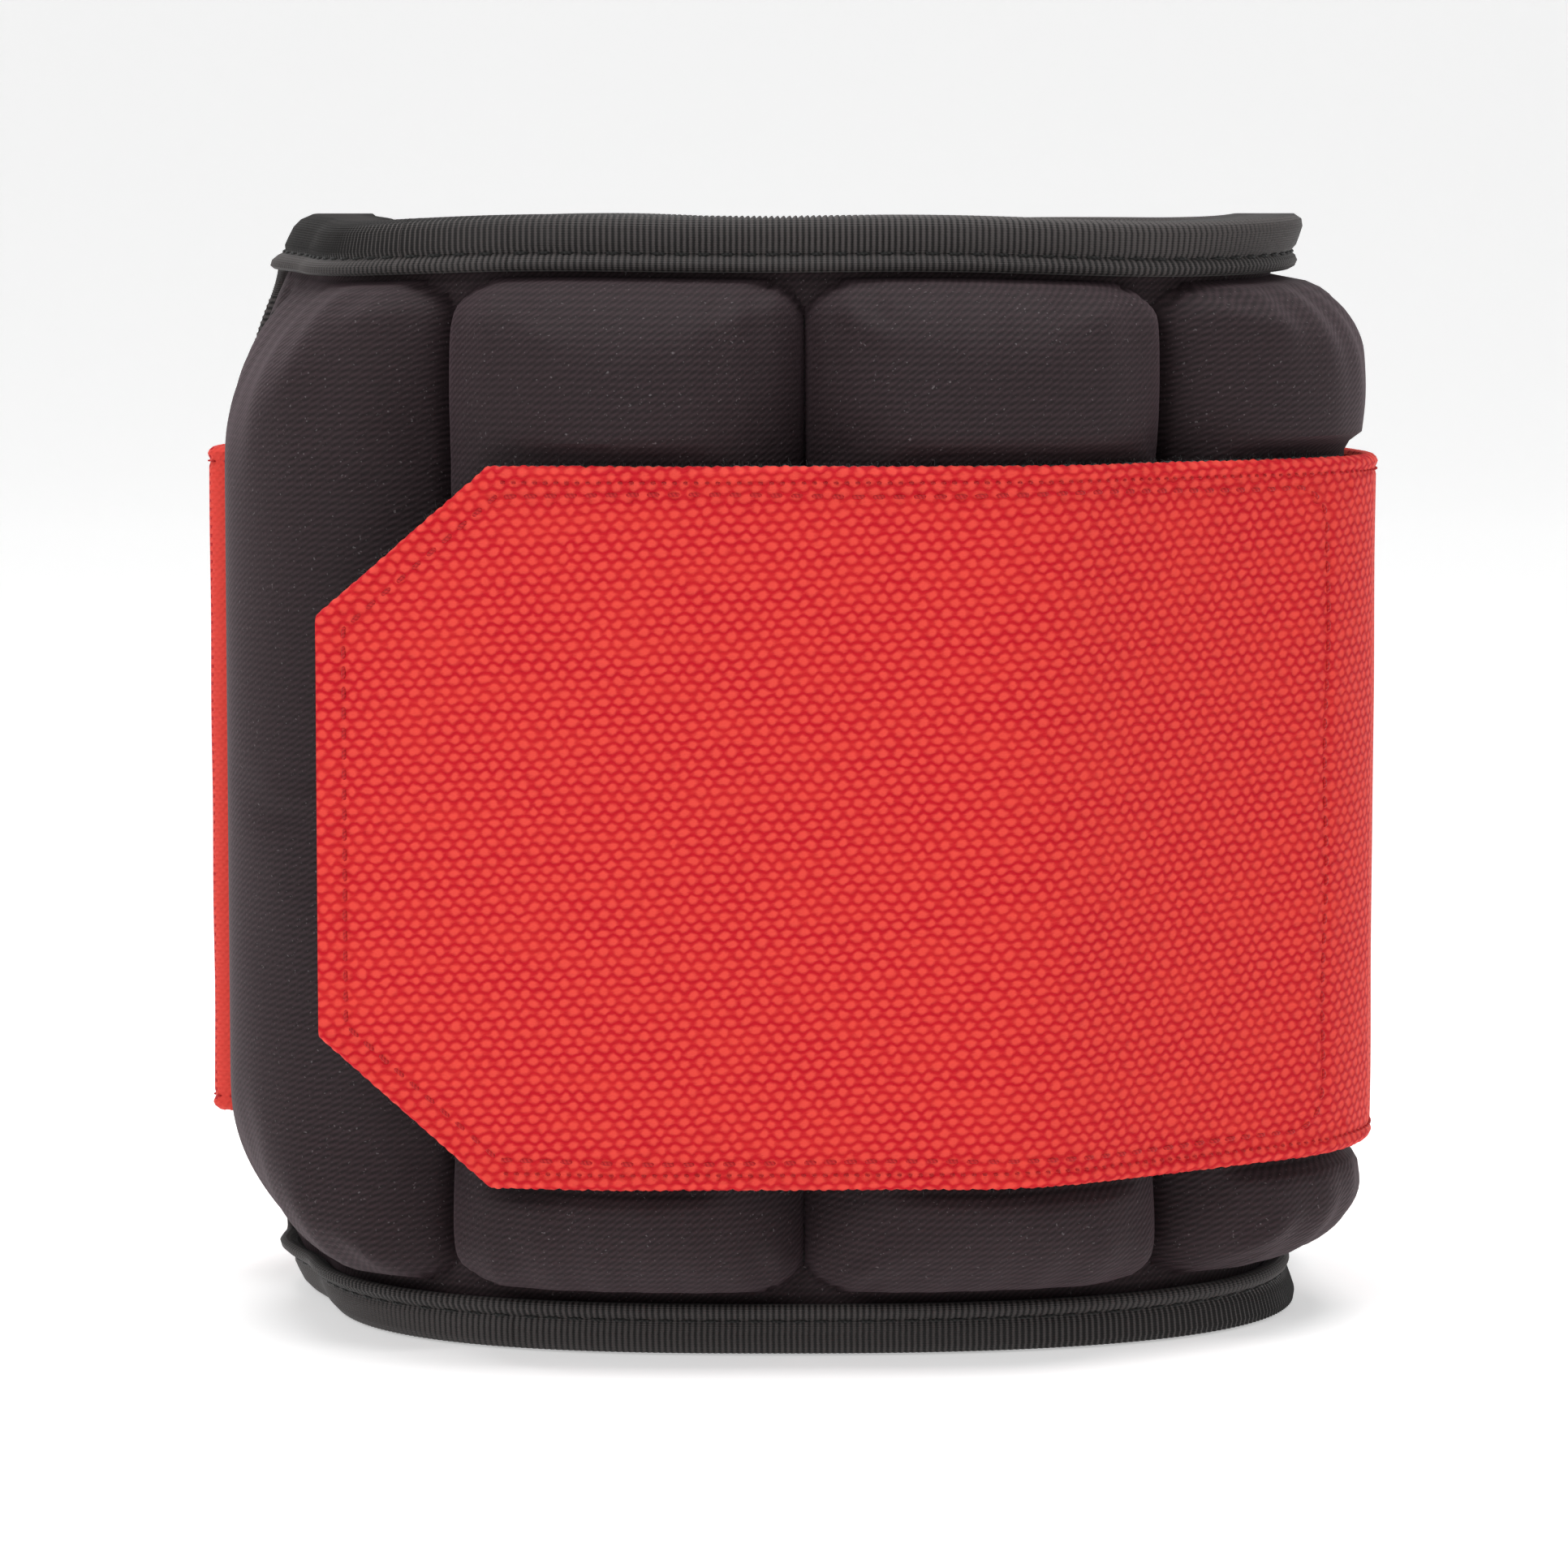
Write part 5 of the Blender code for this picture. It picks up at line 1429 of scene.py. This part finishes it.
def make_strap():
    """The strap in eight lengths, each up to the given distance along it."""
    root_fold = strap_fold("root", "outer_flap", 0.0005, ROOT_RUN)
    cuts = (("strap_root", ROOT_RUN, root_fold, "strap_root"),
            ("strap_slot", WEST_RUN, "outer_flap", "strap_slot_turn"),
            ("strap_west", BACK_RUN, strap_fold("outer_flap", "root", WEST_RUN, BACK_RUN), None),
            ("strap_back", CORNER_START, "root", "strap_back"),
            ("strap_corner", CORNER_PAST,
             strap_fold("root", "strap_side", CORNER_START, CORNER_PAST), None),
            ("strap_side", SEAM_START, "strap_side", "strap_side"),
            ("strap_seam", SEAM_PAST, TAB_FOLD, None),
            ("strap_tab", STRAP_END, "strap_tab", "strap_tab"))
    line = along_line(tab_stitch_line(), TAB_STITCH, 0.80, closed=True)
    first = 0.0
    for label, last, carrier, node in cuts:
        name = label + "_web"
        on_tab = first >= SEAM_START
        runs = spread(first, last, max(4, round((last - first) / STRAP_STEP)))
        rings, uvs = strap_rings(runs, STRAP_THICKNESS, 0.0, ROUGH if on_tab else 0.0)
        web = carried(loft(name, rings, uvs, TAB_RED if on_tab else BAND_RED, 60), carrier,
                      [node] if node else [])
        middle = line[:, 2, 0]
        stitches = line[(middle >= first) & (middle < last)]
        stitch_row(name + "_stitches", stitches, strap_place, carrier, THREAD_RED)
        for side, edge_label in ((1, "top"), (-1, "bottom")):
            edge = [(run, side * (half_height(run) - SELVEDGE_INSET))
                    for run in np.arange(first, min(last, STRAP_END - TAB_CHAMFER), 0.001)]
            if len(edge) > 2:
                stitch_row(f"{name}_{edge_label}_selvedge", along_line(edge, 0.0011, 0.45),
                           strap_place, carrier, THREAD_RED, THREAD * 0.55)
        first = last


HOOK_LIFT = -(STRAP_THICKNESS + HOOK_THICKNESS) / 2
SIDE_FUZZ, TIP_FUZZ = 900, 160               # strands along the tab's edges and at its tip
FUZZ_UP, FUZZ_AHEAD = 0.00055, 0.00045       # how far they stand out
FUZZ_SPREAD = 0.0008


def make_hook_patch():
    """Hook tape behind the tab, whose pile peeks out along the cut corners."""
    for name, start, end, carrier, nodes in (
            ("hook_seam_pile", SEAM_RUN + 0.0006, SEAM_PAST, TAB_FOLD, []),
            ("hook_tab_pile", SEAM_PAST, STRAP_END + 0.0004, "strap_tab", ["tab_hook_patch"])):
        runs = spread(start, end, round((end - start) / 0.0005))
        rings, uvs = strap_rings(runs, HOOK_THICKNESS - 0.0001, HOOK_LIFT, 0.0002)
        carried(loft(name, rings, uvs, HOOK_BLACK, 60), carrier, nodes)
    draw = random.Random(5)
    edge = []
    for _ in range(SIDE_FUZZ):
        run = draw.uniform(SEAM_PAST, STRAP_END - 0.0002)
        edge.append((run, draw.choice((-1, 1)) * (half_height(run) - 0.0002)))
    for _ in range(TIP_FUZZ):
        edge.append((STRAP_END - 0.0001, draw.uniform(-1, 1) * TAB_TIP_HEIGHT / 2))
    run, level = np.array(edge).T
    point, normal = strap_frame(run)
    along = np.stack([normal[:, 1], -normal[:, 0]], -1)
    at_tip = run > STRAP_END - 0.00015
    chamfered = (run > STRAP_END - TAB_CHAMFER) | at_tip
    depth = np.array([draw.uniform(-0.5, 0.5) for _ in edge])[:, None] * FUZZ_SPREAD
    flat = point + normal * (HOOK_LIFT + depth)
    roots = np.concatenate([flat, level[:, None] + STRAP_MIDDLE], -1)
    up = np.where(at_tip, 0.0, np.sign(level)) * FUZZ_UP
    ahead = np.where(chamfered, FUZZ_AHEAD, 0.0)
    ways = np.concatenate([along * ahead[:, None], up[:, None]], -1)
    carried(strands("hook_edge_fuzz", roots, ways, 0.00005, 0.00022, 8, HOOK_BLACK),
            "strap_tab")


# ---- filled bags behind the covers -----------------------------------------------------------
def dress_inner_nodes():
    pouch, iron = pouch_finish(), iron_finish()
    for number in range(1, CHANNELS + 1):
        for node, material in ((f"weight_pouch_{number}", pouch), (f"iron_fill_{number}", iron)):
            mesh = frame["nodes"][node].data
            mesh.materials.clear()
            mesh.materials.append(material)


# ---- seams -----------------------------------------------------------------------------------
SEAM_HIDDEN = 0.003          # the channel seams end this far inside the binding
LINING_CLEAR = 0.00015       # thread above the lining


def make_seams():
    """Thread in the valleys between the channels, outside, and its back on the lining."""
    for number in range(CHANNELS + 1):
        arc = FLAP_SEAM + number * CHANNEL_PITCH
        line = [(arc, CROWN_START + SEAM_HIDDEN), (arc, CUFF_HEIGHT - CROWN_START - SEAM_HIDDEN)]
        carrier = {0: "outer_flap", 1: FRONT, CHANNELS: INNER}.get(number, "root")
        stitches = along_line(line, SEAM_STITCH, 0.8)
        stitch_row(f"channel_seam_{number}", stitches,
                   lambda a, h, lift: wall(a, h, cover_out(a, h) + lift), carrier, THREAD_BLACK)
        stitch_row(f"lining_seam_{number}", stitches,
                   lambda a, h, lift: wall(a, h, lining_out(a, h) - lift - LINING_CLEAR), carrier,
                   THREAD_RED)


# ---- stage -----------------------------------------------------------------------------------
WORLD_LIGHT, KEY_LIGHT, SIDE_LIGHT, TOP_LIGHT = 0.30, 3.2, 0.8, 7.5
FLOOR_GLOW = 0.42            # keeps the backdrop near white without lighting the cuff more
CUFF_MIDDLE = (0, 0, 0.06)
CAMERA_LENS, CAMERA_PLACE, CAMERA_AIM = 132, (0.0, -0.64, 0.1195), (0.0, 0.0, 0.0570)


def floor_finish():
    material = bpy.data.materials.new("floor_white")
    material.use_nodes = True
    shader = material.node_tree.nodes["Principled BSDF"]
    shader.inputs["Base Color"].default_value = (0.90, 0.90, 0.90, 1)
    shader.inputs["Roughness"].default_value = 0.7
    shader.inputs["Emission Color"].default_value = (1, 1, 1, 1)
    shader.inputs["Emission Strength"].default_value = FLOOR_GLOW
    return material


def look_at(piece, target):
    way = Vector(target) - Vector(piece.location)
    piece.rotation_euler = way.to_track_quat("-Z", "Y").to_euler()


def area_light(name, place, size, power):
    data = bpy.data.lights.new(name, "AREA")
    data.shape = "RECTANGLE"
    data.size, data.size_y = size
    data.energy = power
    light = bpy.data.objects.new(name, data)
    light.location = place
    look_at(light, CUFF_MIDDLE)
    bpy.context.scene.collection.objects.link(light)


def make_stage():
    """Pale floor that curves up into a backdrop, soft lights, and the camera."""
    half, back, turn = 4.0, 1.6, 0.8
    bend = np.linspace(0, math.pi / 2, 17)
    profile = [(-half, 0.0)] + [(back + turn * math.sin(b), turn * (1 - math.cos(b))) for b in bend]
    profile.append((back + turn, half))
    verts = [(side * half, y, z) for y, z in profile for side in (-1, 1)]
    mesh = bpy.data.meshes.new("floor")
    faces = [(low, low + 1, low + 3, low + 2) for low in range(0, 2 * len(profile) - 2, 2)]
    mesh.from_pydata(verts, [], faces)
    mesh.materials.append(floor_finish())
    mesh.shade_smooth()
    floor = bpy.data.objects.new("floor", mesh)
    floor.location.z = -0.0002
    bpy.context.scene.collection.objects.link(floor)

    world = bpy.data.worlds.new("studio")
    world.use_nodes = True
    background = world.node_tree.nodes["Background"]
    background.inputs["Color"].default_value = (1.0, 1.0, 1.0, 1)
    background.inputs["Strength"].default_value = WORLD_LIGHT
    bpy.context.scene.world = world

    area_light("key", (-0.45, -0.85, 0.62), (0.45, 0.45), KEY_LIGHT)
    area_light("side", (0.95, -0.35, 0.50), (0.40, 0.60), SIDE_LIGHT)
    area_light("top", (0.0, -0.05, 1.0), (0.8, 0.6), TOP_LIGHT)

    camera_data = bpy.data.cameras.new("camera")
    camera_data.lens = CAMERA_LENS
    camera_data.sensor_width = 36
    camera_data.clip_start = 0.05
    camera = bpy.data.objects.new("camera", camera_data)
    camera.location = CAMERA_PLACE
    look_at(camera, CAMERA_AIM)
    bpy.context.scene.collection.objects.link(camera)
    bpy.context.scene.camera = camera
    bpy.context.scene.view_settings.view_transform = "Standard"
    bpy.context.scene.view_settings.look = "None"


make_covers()
make_flap()
make_linings()
make_tongue()
make_bindings()
make_strap()
make_hook_patch()
make_seams()
dress_inner_nodes()
make_stage()
